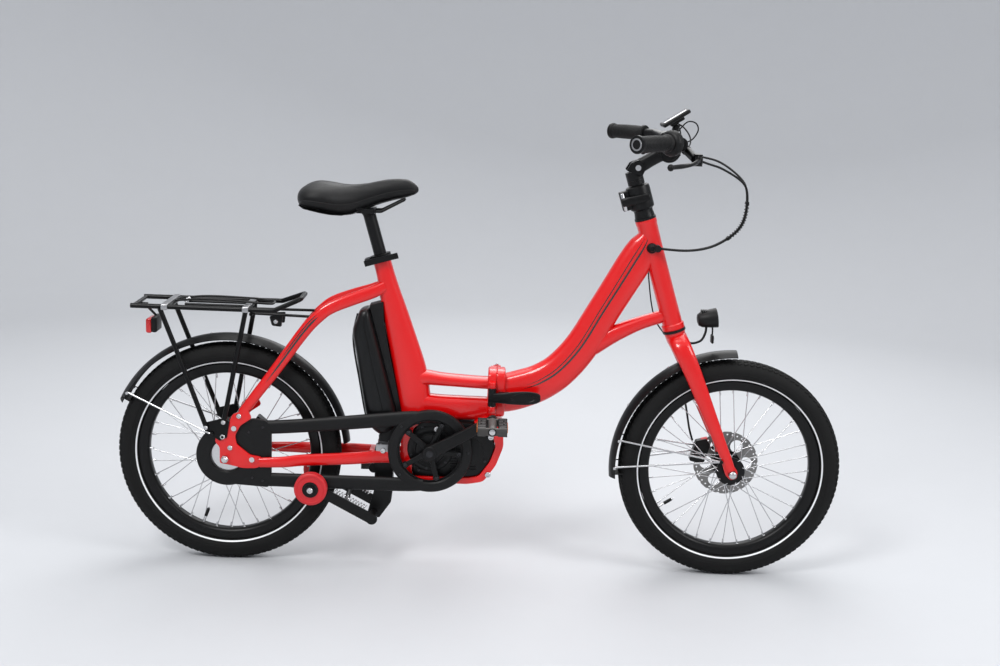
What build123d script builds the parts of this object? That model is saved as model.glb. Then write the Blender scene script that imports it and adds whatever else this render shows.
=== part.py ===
"""A folding electric bicycle: frame with a side hinge, small wheels, chain case, rack and adjustable stem.

The frame stands at +Z up, +X forward and +Y to the rider's left. The origin is on the ground, halfway between
the axles. Most sizes are set out from the rear axle in the side plane: x forward of it and z above the ground.
"Out" is the distance to the rider's right of the bicycle's middle plane.
"""

from build123d import *
from math import atan2, cos, degrees, hypot, pi, radians, sin, sqrt, tan
import os

os.makedirs("parts", exist_ok=True)

# ---- Overall sizes, mm ----
wheelbase = 1161.5
wheel_radius = 258.0
bar_half_width = 300.0
bar_height = 1014.0

# ---- Wheels ----
tyre_half_width = 27.0
tyre_wall = 3.5
rim_edge_radius = 210.0
rim_depth = 23.0
rim_half_width = 16.0
spoke_count = 36
spoke_radius = 1.0
fender_radius = 280.0
fender_half_width = 30.0
fender_sheet = 1.6
rotor_thickness = 2.0
front_rotor_radius = 76.0
rear_rotor_radius = 70.0
front_rotor_out = -40.0
rear_rotor_out = -46.0
front_axle_radius = 6.0
rear_axle_radius = 5.0
front_hub_half = 49.0
rear_hub_half = 60.0
running_fit = 0.05
seat_gap = 0.3

# ---- Drivetrain ----
crank_x = 466.0
crank_z = 288.0
crank_length = 165.0
crank_angle = 32.0
spindle_radius = 9.0
chain_out = 50.0
chain_pitch = 12.7
chainring_teeth = 42
sprocket_teeth = 28
case_inner_out = 44.0
case_outer_out = 60.0
case_wall = 1.5
pedal_axle_radius = 5.0
pedal_inner_out = 105.0
pedal_outer_out = 193.0
motor_half_width = 33.0

# ---- Seat ----
seat_top_x = 343.0
seat_top_z = 717.0
seat_lean = 16.4
seat_tube_radius = 20.0
seatpost_radius = 14.3
seatpost_rise = 108.0
seatpost_insertion = 225.0
saddle_length = 268.0

# ---- Frame and hinge ----
hinge_x = 612.7
hinge_pin_out = -48.0
hinge_pin_radius = 4.0
hinge_low = 366.0
hinge_high = 476.0
main_tube_half_width = 25.0
rear_frame_half_width = 24.0
dropout_out = 61.0
dropout_thickness = 6.0

# ---- Steering ----
head_low_x = 1013.5
head_low_z = 584.0
head_lean = 17.56
head_length = 260.0
head_tube_radius = 23.0
head_bore = 17.0
steerer_radius = 14.3
stem_core_radius = 12.5
fork_half_width = 47.0
stem_pivot_x = 910.0
stem_pivot_z = 948.0
bar_clamp_x = 978.0
bar_clamp_z = 987.0
bar_radius = 11.1

# ---- Stand ----
stand_pivot_x = 336.0
stand_pivot_z = 124.0
roller_x = 197.0
roller_z = 197.0
roller_radius = 37.5
roller_inner_out = 67.5
roller_width = 22.0

# ---- Frames of reference worked out from the sizes ----
rear_x = -wheelbase / 2
axle_z = wheel_radius
side = Plane(origin=(rear_x, 0, 0), x_dir=(1, 0, 0), z_dir=(0, -1, 0))
seat = Plane(
    origin=(rear_x + seat_top_x, 0, seat_top_z),
    x_dir=(cos(radians(seat_lean)), 0, sin(radians(seat_lean))),
    z_dir=(-sin(radians(seat_lean)), 0, cos(radians(seat_lean))),
)
steer = Plane(
    origin=(rear_x + head_low_x, 0, head_low_z),
    x_dir=(cos(radians(head_lean)), 0, sin(radians(head_lean))),
    z_dir=(-sin(radians(head_lean)), 0, cos(radians(head_lean))),
)
chainring_pitch_radius = chain_pitch / (2 * sin(pi / chainring_teeth))
sprocket_pitch_radius = chain_pitch / (2 * sin(pi / sprocket_teeth))


def spot(x, z, out=0.0):
    """A point given from the rear axle, in the model's own frame."""
    return Vector(rear_x + x, -out, z)


def rod(start, end, radius, mode=Mode.ADD):
    """A round bar from one point to another, added to or cut from the part being built."""
    span = Vector(end) - Vector(start)
    with Locations(Plane(origin=start, z_dir=span)):
        Cylinder(radius, span.length, align=(Align.CENTER, Align.CENTER, Align.MIN), mode=mode)


def cross_rod(x, z, radius, low, high, mode=Mode.ADD):
    """A round bar lying across the bicycle, from one out to another."""
    rod(spot(x, z, low), spot(x, z, high), radius, mode)


def slab(points, low, high, corner=0.0, mode=Mode.ADD):
    """A plate with an outline in the side plane, from one out to another."""
    with BuildSketch(side.offset(low)) as outline:
        Polygon(*points, align=None)
        if corner:
            fillet(outline.vertices(), corner)
    extrude(outline.sketch, amount=high - low, mode=mode)


def round_slab(x, z, radius, low, high, mode=Mode.ADD):
    """A round plate across the bicycle."""
    cross_rod(x, z, radius, low, high, mode)


def bent_rod(points, radius, bend, mode=Mode.ADD):
    """A round bar bent at every inner point with one bend radius."""
    with BuildLine(mode=Mode.PRIVATE) as route:
        FilletPolyline(*points, radius=bend)
    start = Plane(origin=route.line @ 0, z_dir=route.line % 0)
    with BuildSketch(start, mode=Mode.PRIVATE) as section:
        Circle(radius)
    sweep(section.sketch, path=route.line, mode=mode)


def keep(builder, name):
    """Labels a finished piece and writes it."""
    builder.part.label = name
    export_step(builder.part, f"parts/{name}.step")


def radial_plane(x, turn=0.0):
    """The half plane through an axle at x, turned up from forward: local x is outward, local y is to the left."""
    a = radians(turn)
    return Plane(origin=(rear_x + x, 0, axle_z), x_dir=(cos(a), 0, sin(a)), z_dir=(-sin(a), 0, cos(a)))


def axle_axis(x):
    """The line of an axle at x, about which a positive turn goes from forward to up."""
    return Axis((rear_x + x, 0, axle_z), (0, -1, 0))


# ======================= Wheels =======================


def make_tyre(x, name):
    """A tyre casing with two tread grooves, open towards the rim."""
    centre = wheel_radius - tyre_half_width
    with BuildPart() as tyre:
        with BuildSketch(radial_plane(x)):
            with Locations((centre, 0)):
                Circle(tyre_half_width)
                Circle(tyre_half_width - tyre_wall, mode=Mode.SUBTRACT)
            with Locations((rim_edge_radius, 0)):
                Rectangle(24, 60, align=(Align.MAX, Align.CENTER), mode=Mode.SUBTRACT)
            with Locations((wheel_radius, 7), (wheel_radius, -7)):
                Rectangle(3, 1.6, mode=Mode.SUBTRACT)
        revolve(axis=axle_axis(x))
    keep(tyre, name)


def make_rim(x, name):
    """A hollow double-walled rim with a well for the tyre."""
    edge = rim_edge_radius - seat_gap
    inner = rim_edge_radius - rim_depth
    with BuildPart() as rim:
        with BuildSketch(radial_plane(x)):
            Polygon(
                (inner, -8), (inner + 6, -rim_half_width + 1), (edge, -rim_half_width), (edge, -11),
                (edge - 7, -9), (edge - 7, 9), (edge, 11), (edge, rim_half_width),
                (inner + 6, rim_half_width - 1), (inner, 8), align=None,
            )
            with Locations((inner + 8, 0)):
                Rectangle(9, 18, mode=Mode.SUBTRACT)
        revolve(axis=axle_axis(x))
    keep(rim, name)


def make_spokes(x, flange_radius, flange_out, name):
    """Crossed spokes from two hub flanges to the rim, heads on either face of each flange in turn."""
    cross = 40.0
    inset = 2.6
    rim_end = rim_edge_radius - rim_depth + 2
    with BuildPart() as spokes:
        for n in range(spoke_count):
            flank = 1 if n % 2 else -1
            lean = 1 if (n // 2) % 2 else -1
            far = radians(n * 360 / spoke_count)
            near = far + radians(cross * lean)
            start = Vector(
                rear_x + x + flange_radius * cos(near), flank * (flange_out + lean * inset),
                axle_z + flange_radius * sin(near),
            )
            end = Vector(rear_x + x + rim_end * cos(far), flank * 4, axle_z + rim_end * sin(far))
            rod(start, end, spoke_radius)
    keep(spokes, name)


def make_hub(x, shell, flange, flange_out, half, bore, drive_out, name):
    """A hub shell with two flanges, a rotor seat, a drive stub and a running bore for its axle."""
    with BuildPart() as hub:
        cross_rod(x, axle_z, shell, -flange_out, flange_out)
        for flank in (-1, 1):
            cross_rod(x, axle_z, flange, flank * flange_out - 2, flank * flange_out + 2)
            cross_rod(x, axle_z, bore + 6, flank * flange_out, flank * half)
        cross_rod(x, axle_z, shell * 0.7, -(half - 8), drive_out)
        cross_rod(x, axle_z, bore + running_fit, -half - 1, half + 1, mode=Mode.SUBTRACT)
    keep(hub, name)


def make_rotor(x, radius, out, carrier_bore, name):
    """A brake disc with a wavy edge, two rings of holes and open windows."""
    with BuildPart() as rotor:
        with BuildSketch(side.offset(out - rotor_thickness / 2)):
            with Locations((x, axle_z)):
                Circle(radius)
                with PolarLocations(radius + 3, 18):
                    Circle(5, mode=Mode.SUBTRACT)
                with PolarLocations(radius - 7, 36):
                    Circle(2, mode=Mode.SUBTRACT)
                with PolarLocations(radius * 0.62, 6):
                    Circle(radius * 0.2, mode=Mode.SUBTRACT)
                Circle(carrier_bore, mode=Mode.SUBTRACT)
        extrude(amount=rotor_thickness)
    keep(rotor, name)


front_flange_out = 30.0
rear_flange_out = 30.0
front_shell = 20.0
rear_shell = 40.0
front_x = wheelbase
for wheel_x, end in ((0, "rear"), (front_x, "front")):
    make_tyre(wheel_x, f"{end}_tyre")
    make_rim(wheel_x, f"{end}_rim")
make_spokes(front_x, 29, front_flange_out, "front_spokes")
make_spokes(0, 44, rear_flange_out, "rear_spokes")
make_hub(front_x, front_shell, 33, front_flange_out, front_hub_half, front_axle_radius, 41,
         "front_hub")
make_hub(0, rear_shell, 48, rear_flange_out, rear_hub_half, rear_axle_radius, 44, "rear_hub")
make_rotor(front_x, front_rotor_radius, front_rotor_out, front_shell * 0.7 + 0.05, "front_rotor")
make_rotor(0, rear_rotor_radius, rear_rotor_out, rear_shell * 0.7 + 0.05, "rear_rotor")


# ======================= Rear frame =======================

spine_x = 397.0
spine_half_width = 33.0
cradle_low = 207.0
cradle_half_width = 38.0
plate_outer = 36.0
plate_left_edge = 38.0
plate_thickness = 18.0
plate_gap = 0.15
knuckle_radius = 9.0
knuckle_levels = ((hinge_low + 4, 395), (396, 446), (447, hinge_high - 4))
lever_pin_x = 603.0
lever_pin_out = 50.0
lever_low = 398.0
lever_high = 440.0
seat_bore = seatpost_radius + running_fit
housing_bore = spindle_radius + running_fit
stand_plate = (337, 379)


def hinge_knuckle(low, high, mode=Mode.ADD, radius=knuckle_radius):
    """One knuckle of the side hinge between two heights."""
    rod(spot(hinge_x, low, hinge_pin_out), spot(hinge_x, high, hinge_pin_out), radius, mode)


def hinge_lug(low, high, reach):
    """The web that joins a knuckle to its hinge plate, behind or ahead of the joint by its reach."""
    near, far = sorted((hinge_x, hinge_x + reach))
    slab([(near, low), (far, low), (far, high), (near, high)], hinge_pin_out, -plate_left_edge)


with BuildPart() as rear_frame:
    rod(seat.from_local_coords((0, 0, -330)), seat.origin, seat_tube_radius)
    slab(
        [(349, 632), (378, 650), (410, 558), (452, 470), (458, 409), (452, 352), (436, 352),
         (spine_x, 364), (352, 570)],
        -rear_frame_half_width, rear_frame_half_width,
    )
    slab([(430, 470), (470, 461), (596, 454.5), (596, 428), (440, 434)], -rear_frame_half_width, rear_frame_half_width)
    slab([(430, 409), (596, 407), (612.3, 378), (612.3, 364), (614, 352), (440, 352)], -rear_frame_half_width, rear_frame_half_width)
    slab(
        [(596, 378), (612, 366), (632, 352), (634, 300), (618, 254), (589, 213), (553, cradle_low), (418, cradle_low),
         (418, 221), (549, 221), (579, 226), (604, 262), (617, 300), (614, 352), (596, 352)],
        -cradle_half_width, cradle_half_width,
    )
    slab([(spine_x, 364), (440, 352), (424, 330), (424, cradle_low), (410, cradle_low), (spine_x, 222)],
         -spine_half_width, spine_half_width)
    plate_face = hinge_x - plate_gap
    slab(
        [(plate_face - plate_thickness, hinge_low), (plate_face, hinge_low),
         (plate_face, hinge_high), (plate_face - plate_thickness, hinge_high)],
        -plate_left_edge, plate_outer,
    )
    for level in (0, 2):
        hinge_lug(*knuckle_levels[level], -12)
        hinge_knuckle(*knuckle_levels[level])
    for low, high in ((lever_low - 14, lever_low - seat_gap), (lever_high + seat_gap, lever_high + 14)):
        slab([(lever_pin_x - 8, low), (lever_pin_x + 8, low), (lever_pin_x + 8, high), (lever_pin_x - 8, high)],
             plate_outer, lever_pin_out)
        rod(spot(lever_pin_x, low, lever_pin_out), spot(lever_pin_x, high, lever_pin_out), 8)
    hinge_knuckle(hinge_low, hinge_high, Mode.SUBTRACT, hinge_pin_radius + 0.02)
    rod(spot(lever_pin_x, lever_low - 12, lever_pin_out), spot(lever_pin_x, lever_high + 12, lever_pin_out),
        3.02, Mode.SUBTRACT)
    rod(seat.from_local_coords((0, 0, -320)), seat.from_local_coords((0, 0, 5)), seat_bore, Mode.SUBTRACT)
keep(rear_frame, "rear_frame")

with BuildPart() as motor_housing:
    slab([(424.3, 221.3), (549, 221.3), (578.8, 226.3), (603.5, 262), (616, 300), (595, 348), (560, 351.7),
          (441, 351.7), (424.4, 329)], -motor_half_width, motor_half_width)
    for flank in (-1, 1):
        cross_rod(crank_x, crank_z, 32, flank * motor_half_width, flank * (case_inner_out - 3))
        for bolt_x, bolt_z in ((480, 337), (560, 330), (590, 262), (520, 236)):
            cross_rod(bolt_x, bolt_z, 6, flank * motor_half_width, flank * (motor_half_width + 3))
    cross_rod(crank_x, crank_z, housing_bore, -60, 60, mode=Mode.SUBTRACT)
keep(motor_housing, "motor_housing")

with BuildPart() as dropouts:
    for flank in (-1, 1):
        low, high = sorted((flank * dropout_out, flank * (dropout_out + dropout_thickness)))
        slab([(52, 372), (14, 352), (-2, 318), (-26, 306), (-30, 268), (-14, 234), (22, 226), (70, 230),
              (84, 244), (78, 270), (48, 274), (38, 290), (46, 322), (60, 352)], low, high, 3)
        cross_rod(0, axle_z, rear_axle_radius + 0.1, low - 1, high + 1, mode=Mode.SUBTRACT)

with BuildPart() as chainstays:
    for flank in (-1, 1):
        route = [spot(spine_x - 0.2, 262, flank * 23), spot(348, 262, flank * 23), spot(284, 260, flank * 40),
                 spot(178, 256, flank * 51), spot(122, 253, flank * 67.2), spot(76, 251, flank * 67.2)]
        with BuildLine(mode=Mode.PRIVATE) as line:
            FilletPolyline(*route, radius=40)
        with BuildSketch(Plane(origin=route[0], x_dir=(0, 0, 1), z_dir=(-1, 0, 0)), mode=Mode.PRIVATE) as section:
            Ellipse(15, 7)
        sweep(section.sketch, path=line.line)
    slab([(stand_plate[0] - 14, 249), (stand_plate[1], 249), (stand_plate[1], 277.2), (stand_plate[0] - 14, 277.2)],
         -24, 24)
    add(dropouts.part)
keep(chainstays, "chainstays")

with BuildPart() as seatstays:
    for flank in (-1, 1):
        route = [spot(342, 652, flank * 17), spot(280, 630, flank * 33), spot(212, 607, flank * 46),
                 spot(182, 566, flank * 50), spot(34, 360, flank * 61)]
        with BuildLine(mode=Mode.PRIVATE) as line:
            FilletPolyline(*route, radius=24)
        with BuildSketch(Plane(origin=line.line @ 0, x_dir=(0.33, 0, -0.94), z_dir=line.line % 0),
                         mode=Mode.PRIVATE) as section:
            Ellipse(15, 8)
        sweep(section.sketch, path=line.line)
    cross_rod(236, 612, 8, -38, 38)
    rod(seat.from_local_coords((0, 0, -200)), seat.origin, seat_tube_radius, Mode.SUBTRACT)
    add(rear_frame.part, mode=Mode.SUBTRACT)
    add(dropouts.part, mode=Mode.SUBTRACT)
keep(seatstays, "seatstays")

with BuildPart() as frame_hardware:
    cross_rod(0, axle_z, rear_axle_radius, -78, 78)
    for flank in (-1, 1):
        nut_face = dropout_out + dropout_thickness + 0.1
        with BuildSketch(side.offset(flank * nut_face)) as nut:
            with Locations((0, axle_z)):
                RegularPolygon(9, 6)
        extrude(nut.sketch, amount=flank * 8)
    rod(spot(hinge_x, hinge_low, hinge_pin_out), spot(hinge_x, hinge_high, hinge_pin_out), hinge_pin_radius)
    rod(spot(lever_pin_x, lever_low - 12, lever_pin_out), spot(lever_pin_x, lever_high + 12, lever_pin_out), 3)
    for flank in (-1, 1):
        face = dropout_out + dropout_thickness + 0.05
        for bolt_x, bolt_z in ((61, 258), (20, 330)):
            cross_rod(bolt_x, bolt_z, 6, flank * face, flank * (face + 5))
keep(frame_hardware, "frame_hardware")

# ======================= Chain drive =======================

case_rear_x = 2.0
case_rear_z = 262.0


def belt(reach, low, high, mode=Mode.ADD):
    """A plate whose outline wraps both chain wheels at a distance beyond their pitch circles."""
    with BuildSketch(side.offset(low)) as outline:
        with Locations((crank_x, crank_z)):
            Circle(chainring_pitch_radius + reach)
        with Locations((0, axle_z)):
            Circle(sprocket_pitch_radius + reach)
        make_hull()
    extrude(outline.sketch, amount=high - low, mode=mode)


with BuildPart() as chain:
    belt(5, chain_out - 3.8, chain_out + 3.8)
    belt(-5, chain_out - 4, chain_out + 4, Mode.SUBTRACT)
    belt(3.6, chain_out - 2.2, chain_out + 2.2, Mode.SUBTRACT)
keep(chain, "chain")

with BuildPart() as chain_case:
    with BuildSketch(side.offset(case_inner_out)) as shell:
        with Locations((crank_x, crank_z)):
            Circle(97)
        Polygon((60, 350), (122, 348), (450, 384), (440, 350), (122, 316), (60, 310), align=None)
        Polygon((60, 188), (238, 189), (460, 190), (450, 222), (238, 223), (60, 226), align=None)
        with Locations((case_rear_x, case_rear_z)):
            Circle(71)
        Polygon((0, 336), (60, 352), (92, 350), (104, 330), (104, 222), (98, 188), (0, 195), align=None)
        with Locations((crank_x, crank_z)):
            Circle(73, mode=Mode.SUBTRACT)
        with Locations((0, axle_z)):
            Circle(36, mode=Mode.SUBTRACT)
    extrude(shell.sketch, amount=case_outer_out - case_inner_out)
    with BuildSketch(side.offset(case_inner_out + case_wall)) as cavity:
        with Locations((crank_x, crank_z)):
            Circle(97 - case_wall)
        Polygon((56, 346), (122, 345), (450, 381), (440, 353), (122, 319), (56, 313), align=None)
        Polygon((56, 191), (238, 192), (460, 193), (450, 219), (238, 220), (56, 223), align=None)
        with Locations((case_rear_x, case_rear_z)):
            Circle(69)
        Polygon((0, 333), (60, 349), (90, 347), (101, 330), (101, 223), (95, 191), (0, 198), align=None)
        with Locations((crank_x, crank_z)):
            Circle(75.5, mode=Mode.SUBTRACT)
        with Locations((0, axle_z)):
            Circle(38, mode=Mode.SUBTRACT)
    extrude(cavity.sketch, amount=case_outer_out - case_inner_out - 2 * case_wall, mode=Mode.SUBTRACT)
    round_slab(crank_x, crank_z, 80, chain_out - 2.4, chain_out + 2.4, Mode.SUBTRACT)
    round_slab(0, axle_z, 40, chain_out - 3, chain_out + 3, Mode.SUBTRACT)
keep(chain_case, "chain_case")


def toothed_disc(x, z, pitch_radius, teeth, width):
    """A chain wheel: a disc with a roller gap between each two teeth."""
    with BuildSketch(side.offset(chain_out - width / 2)) as disc:
        with Locations((x, z)):
            Circle(pitch_radius + 3)
            with PolarLocations(pitch_radius, teeth):
                Circle(4, mode=Mode.SUBTRACT)
    extrude(disc.sketch, amount=width)


with BuildPart() as chainring:
    toothed_disc(crank_x, crank_z, chainring_pitch_radius, chainring_teeth, 3)
    round_slab(crank_x, crank_z, 70, chain_out - 2, chain_out + 2, Mode.SUBTRACT)
    for arm in range(5):
        a = radians(crank_angle + 36 + 72 * arm)
        cross_rod(crank_x + 66 * cos(a), crank_z + 66 * sin(a), 8, chain_out - 1.5, chain_out + 1.5)
keep(chainring, "chainring")

with BuildPart() as rear_sprocket:
    toothed_disc(0, axle_z, sprocket_pitch_radius, sprocket_teeth, 3)
    cross_rod(0, axle_z, rear_shell * 0.7 - 4, chain_out - 1.5, chain_out + 3)
    cross_rod(0, axle_z, rear_axle_radius + 6 + 2, chain_out - 5, chain_out + 5, mode=Mode.SUBTRACT)
keep(rear_sprocket, "rear_sprocket")

arm_boss_out = 64.0
arm_width = 13.0
arm_end_out = 86.0


def crank_arm(flank, turn):
    """A crank arm that leans outward, with a boss at each end, and the axle of its pedal."""
    a = radians(turn)
    tip_x = crank_x + crank_length * cos(a)
    tip_z = crank_z + crank_length * sin(a)
    root = spot(crank_x, crank_z, flank * (arm_boss_out + arm_width / 2))
    tip = spot(tip_x, tip_z, flank * (arm_end_out + arm_width / 2))
    along = tip - root
    cross = Vector(-sin(a), 0, cos(a))
    with BuildSketch(Plane(origin=root, x_dir=cross, z_dir=along), mode=Mode.PRIVATE) as root_face:
        RectangleRounded(30, arm_width, 4)
    with BuildSketch(Plane(origin=tip, x_dir=cross, z_dir=along), mode=Mode.PRIVATE) as tip_face:
        RectangleRounded(20, arm_width - 1, 4)
    loft(Sketch() + [root_face.sketch, tip_face.sketch])
    cross_rod(crank_x, crank_z, 17, flank * arm_boss_out, flank * (arm_boss_out + arm_width + 3))
    cross_rod(tip_x, tip_z, 12, flank * arm_end_out, flank * (arm_end_out + arm_width))
    cross_rod(tip_x, tip_z, pedal_axle_radius, flank * arm_end_out, flank * (pedal_outer_out - 4))
    return tip_x, tip_z


with BuildPart() as crank_right:
    cross_rod(crank_x, crank_z, spindle_radius, -(arm_boss_out + arm_width), arm_boss_out + arm_width)
    crank_arm(1, crank_angle)
    cross_rod(crank_x, crank_z, 17, chain_out + 1.6, arm_boss_out)
    for arm in range(5):
        a = radians(crank_angle + 36 + 72 * arm)
        with Locations(Plane(origin=spot(crank_x, crank_z, chain_out + 4.3), x_dir=(cos(a), 0, sin(a)), z_dir=(0, -1, 0))):
            Box(70, 13, 5, align=(Align.MIN, Align.CENTER, Align.CENTER))
        cross_rod(crank_x + 66 * cos(a), crank_z + 66 * sin(a), 4.5, chain_out + 1.8, chain_out + 8.5)
keep(crank_right, "crank_right")

with BuildPart() as crank_left:
    crank_arm(-1, crank_angle + 180)
    cross_rod(crank_x, crank_z, spindle_radius + 0.01, -90, -60, mode=Mode.SUBTRACT)
keep(crank_left, "crank_left")


def make_pedal(flank, turn, name):
    """A pedal block with two treads about a closed bore that runs on its axle."""
    a = radians(turn)
    x = crank_x + crank_length * cos(a)
    z = crank_z + crank_length * sin(a)
    with BuildPart() as pedal:
        for step in (-1, 1):
            slab([(x + step * 13, z - 12), (x + step * 33, z - 9), (x + step * 33, z + 9), (x + step * 13, z + 12)],
                 *sorted((flank * (pedal_inner_out + 3), flank * pedal_outer_out)))
        for level in (pedal_inner_out, pedal_outer_out - 7):
            slab([(x - 32, z - 9), (x + 32, z - 9), (x + 32, z + 9), (x - 32, z + 9)],
                 *sorted((flank * level, flank * (level + 7))))
        cross_rod(x, z, 11, flank * pedal_inner_out, flank * pedal_outer_out)
        cross_rod(x, z, pedal_axle_radius + running_fit, flank * (pedal_inner_out - 1),
                  flank * (pedal_outer_out - 3.5), mode=Mode.SUBTRACT)
    keep(pedal, name)


make_pedal(1, crank_angle, "pedal_right")
make_pedal(-1, crank_angle + 180, "pedal_left")

# ======================= Battery =======================

battery_half_width = 42.0

with BuildPart() as battery:
    with BuildSketch(Plane(origin=seat.origin + Vector(0, battery_half_width, 0), x_dir=seat.x_dir,
                           z_dir=(0, -1, 0))) as outline:
        Polygon((-53, -102), (-75, -95), (-107, -138), (-131, -346), (-112, -385), (-58, -362), align=None)
        fillet(outline.vertices(), 8)
    extrude(amount=2 * battery_half_width)
keep(battery, "battery")

with BuildPart() as battery_mount:
    with BuildSketch(Plane(origin=seat.origin + Vector(0, 28, 0), x_dir=seat.x_dir, z_dir=(0, -1, 0))) as outline:
        Polygon((-57, -364), (-111, -387), (-114, -400), (-96, -408), (-48, -366), (-48, -356), align=None)
    extrude(amount=56)
    with BuildSketch(Plane(origin=seat.origin + Vector(0, 20, 0), x_dir=seat.x_dir, z_dir=(0, -1, 0))) as cap:
        Polygon((-20, -90), (-52, -90), (-52.5, -101), (-57, -350), (-40, -350), (-20, -110), align=None)
    extrude(amount=40)
    add(rear_frame.part, mode=Mode.SUBTRACT)
keep(battery_mount, "battery_mount")

# ======================= Seat =======================

collar_height = 15.0
saddle_top_z = 889.0

with BuildPart() as seat_collar:
    rod(seat.from_local_coords((0, 0, 0.2)), seat.from_local_coords((0, 0, collar_height)), 23.5)
    with Locations(seat.location * Location((-26, 0, collar_height / 2))):
        Box(20, 25.4, 12)
    with Locations(seat.location * Location((-30, 0, collar_height / 2))):
        Box(34, 2, 20, mode=Mode.SUBTRACT)
    rod(seat.origin, seat.from_local_coords((0, 0, 20)), seat_bore, Mode.SUBTRACT)
keep(seat_collar, "seat_collar")

lever_pivot = seat.from_local_coords((-30, -24, 0))
with BuildPart() as seat_lever:
    with Locations(seat.location * Location((-30, -19, collar_height / 2))):
        Cylinder(6, 12)
    with Locations(seat.location * Location((2, -30, collar_height / 2 - 2))):
        Box(78, 5, 13)
    with Locations(seat.location * Location((-30, -25, collar_height / 2))):
        Box(8, 12, 10)
keep(seat_lever, "seat_lever")

with BuildPart() as seatpost:
    rod(seat.from_local_coords((0, 0, -seatpost_insertion)), seat.from_local_coords((0, 0, seatpost_rise)),
        seatpost_radius)
    rod(seat.from_local_coords((0, 0, -seatpost_insertion - 1)), seat.from_local_coords((0, 0, seatpost_rise - 12)),
        seatpost_radius - 2.5, Mode.SUBTRACT)
keep(seatpost, "seatpost")

clamp_x = 306.0
rail_z = 830.0
rail_gauge = 22.0
rail_radius = 3.5

with BuildPart() as saddle_rails:
    for flank in (-1, 1):
        bent_rod([spot(190, 846, flank * 30), spot(214, rail_z, flank * rail_gauge),
                  spot(340, rail_z, flank * rail_gauge), spot(392, 858, flank * 12)], rail_radius, 14)

with BuildPart() as saddle_clamp:
    slab([(clamp_x - 20, rail_z - 5), (clamp_x + 20, rail_z - 5), (clamp_x + 20, rail_z + 6), (clamp_x - 20, rail_z + 6)],
         -29, 29)
    for flank in (-1, 1):
        rod(spot(clamp_x - 30, rail_z, flank * rail_gauge), spot(clamp_x + 30, rail_z, flank * rail_gauge),
            rail_radius + 0.02, Mode.SUBTRACT)
    rod(seat.from_local_coords((0, 0, seatpost_rise + 0.1)), spot(clamp_x - 1, rail_z, 0), 13)
    add(seatpost.part, mode=Mode.SUBTRACT)

with BuildPart() as saddle_mount:
    add(saddle_clamp.part)
    add(saddle_rails.part)
keep(saddle_mount, "saddle_mount")

with BuildPart() as saddle:
    slab([(154, 862), (160, 838), (190, 850), (257, 842), (330, 850), (400, 862), (422, 874), (423, 890),
          (402, 902), (372, 904), (320, 890), (270, 878), (232, 882), (200, saddle_top_z), (172, 884)], -80, 80)
    with BuildSketch(Plane(origin=(rear_x, 0, 820))) as plan:
        Polygon((154, -52), (176, -74), (208, -76), (250, -52), (300, -30), (360, -21), (412, -18), (424, -8),
                (424, 8), (412, 18), (360, 21), (300, 30), (250, 52), (208, 76), (176, 74), (154, 52), align=None)
    extrude(amount=120, mode=Mode.INTERSECT)
    add(saddle_rails.part, mode=Mode.SUBTRACT)
keep(saddle, "saddle")

# ======================= Stand with transport rollers =======================

leg_out = 61.3
leg_sheet = 4.7
roller_axle = 6.0
pivot_bore = 8.0
leg_span_x = roller_x - stand_pivot_x
leg_span_z = roller_z - stand_pivot_z

with BuildPart() as stand_bracket:
    slab([(337, 248.8), (379, 248.8), (380, 190), (376, 150), (350, 112), (330, 112), (322, 124), (337, 180)], -15, 15, 3)
    slab([(stand_plate[0], 277.4), (stand_plate[1], 277.4), (stand_plate[1], 281), (stand_plate[0], 281)], -26, 26)
    rod(spot(358, 281, 0), spot(358, 288, 0), 8)
    cross_rod(stand_pivot_x, stand_pivot_z, pivot_bore + running_fit, -30, 30, mode=Mode.SUBTRACT)
keep(stand_bracket, "stand_bracket")

with BuildPart() as stand_legs:
    cross_rod(stand_pivot_x, stand_pivot_z, pivot_bore, -leg_out - 1, leg_out + 1)
    cross_x = stand_pivot_x + 0.45 * leg_span_x
    cross_z = stand_pivot_z + 0.45 * leg_span_z
    cross_rod(cross_x, cross_z, 6, -leg_out - 1, leg_out + 1)
    reach = hypot(leg_span_x, leg_span_z)
    rise = (-leg_span_z / reach, leg_span_x / reach)
    for flank in (-1, 1):
        low, high = sorted((flank * leg_out, flank * (leg_out + leg_sheet)))
        outline = [(stand_pivot_x, stand_pivot_z), (roller_x, roller_z)]
        sides = [(x + w * rise[0], z + w * rise[1]) for x, z in outline for w in (12, -12)]
        slab([sides[0], sides[2], sides[3], sides[1]], low, high)
        cross_rod(stand_pivot_x, stand_pivot_z, 13, low, high)
        cross_rod(roller_x, roller_z, 14, low, high)
        cross_rod(roller_x, roller_z, roller_axle, flank * leg_out, flank * (roller_inner_out + roller_width + 2))
        cross_rod(roller_x, roller_z, 10, flank * (roller_inner_out + roller_width + seat_gap),
                  flank * (roller_inner_out + roller_width + 4))
keep(stand_legs, "stand_legs")

for flank, name in ((1, "roller_right"), (-1, "roller_left")):
    with BuildPart() as roller:
        low, high = flank * roller_inner_out, flank * (roller_inner_out + roller_width)
        cross_rod(roller_x, roller_z, roller_radius, low, high)
        fillet(roller.edges().filter_by(GeomType.CIRCLE), 4)
        cross_rod(roller_x, roller_z, roller_axle + running_fit, low - flank, high + flank, mode=Mode.SUBTRACT)
    keep(roller, name)

# ======================= Fenders, rack and rear light =======================


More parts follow.
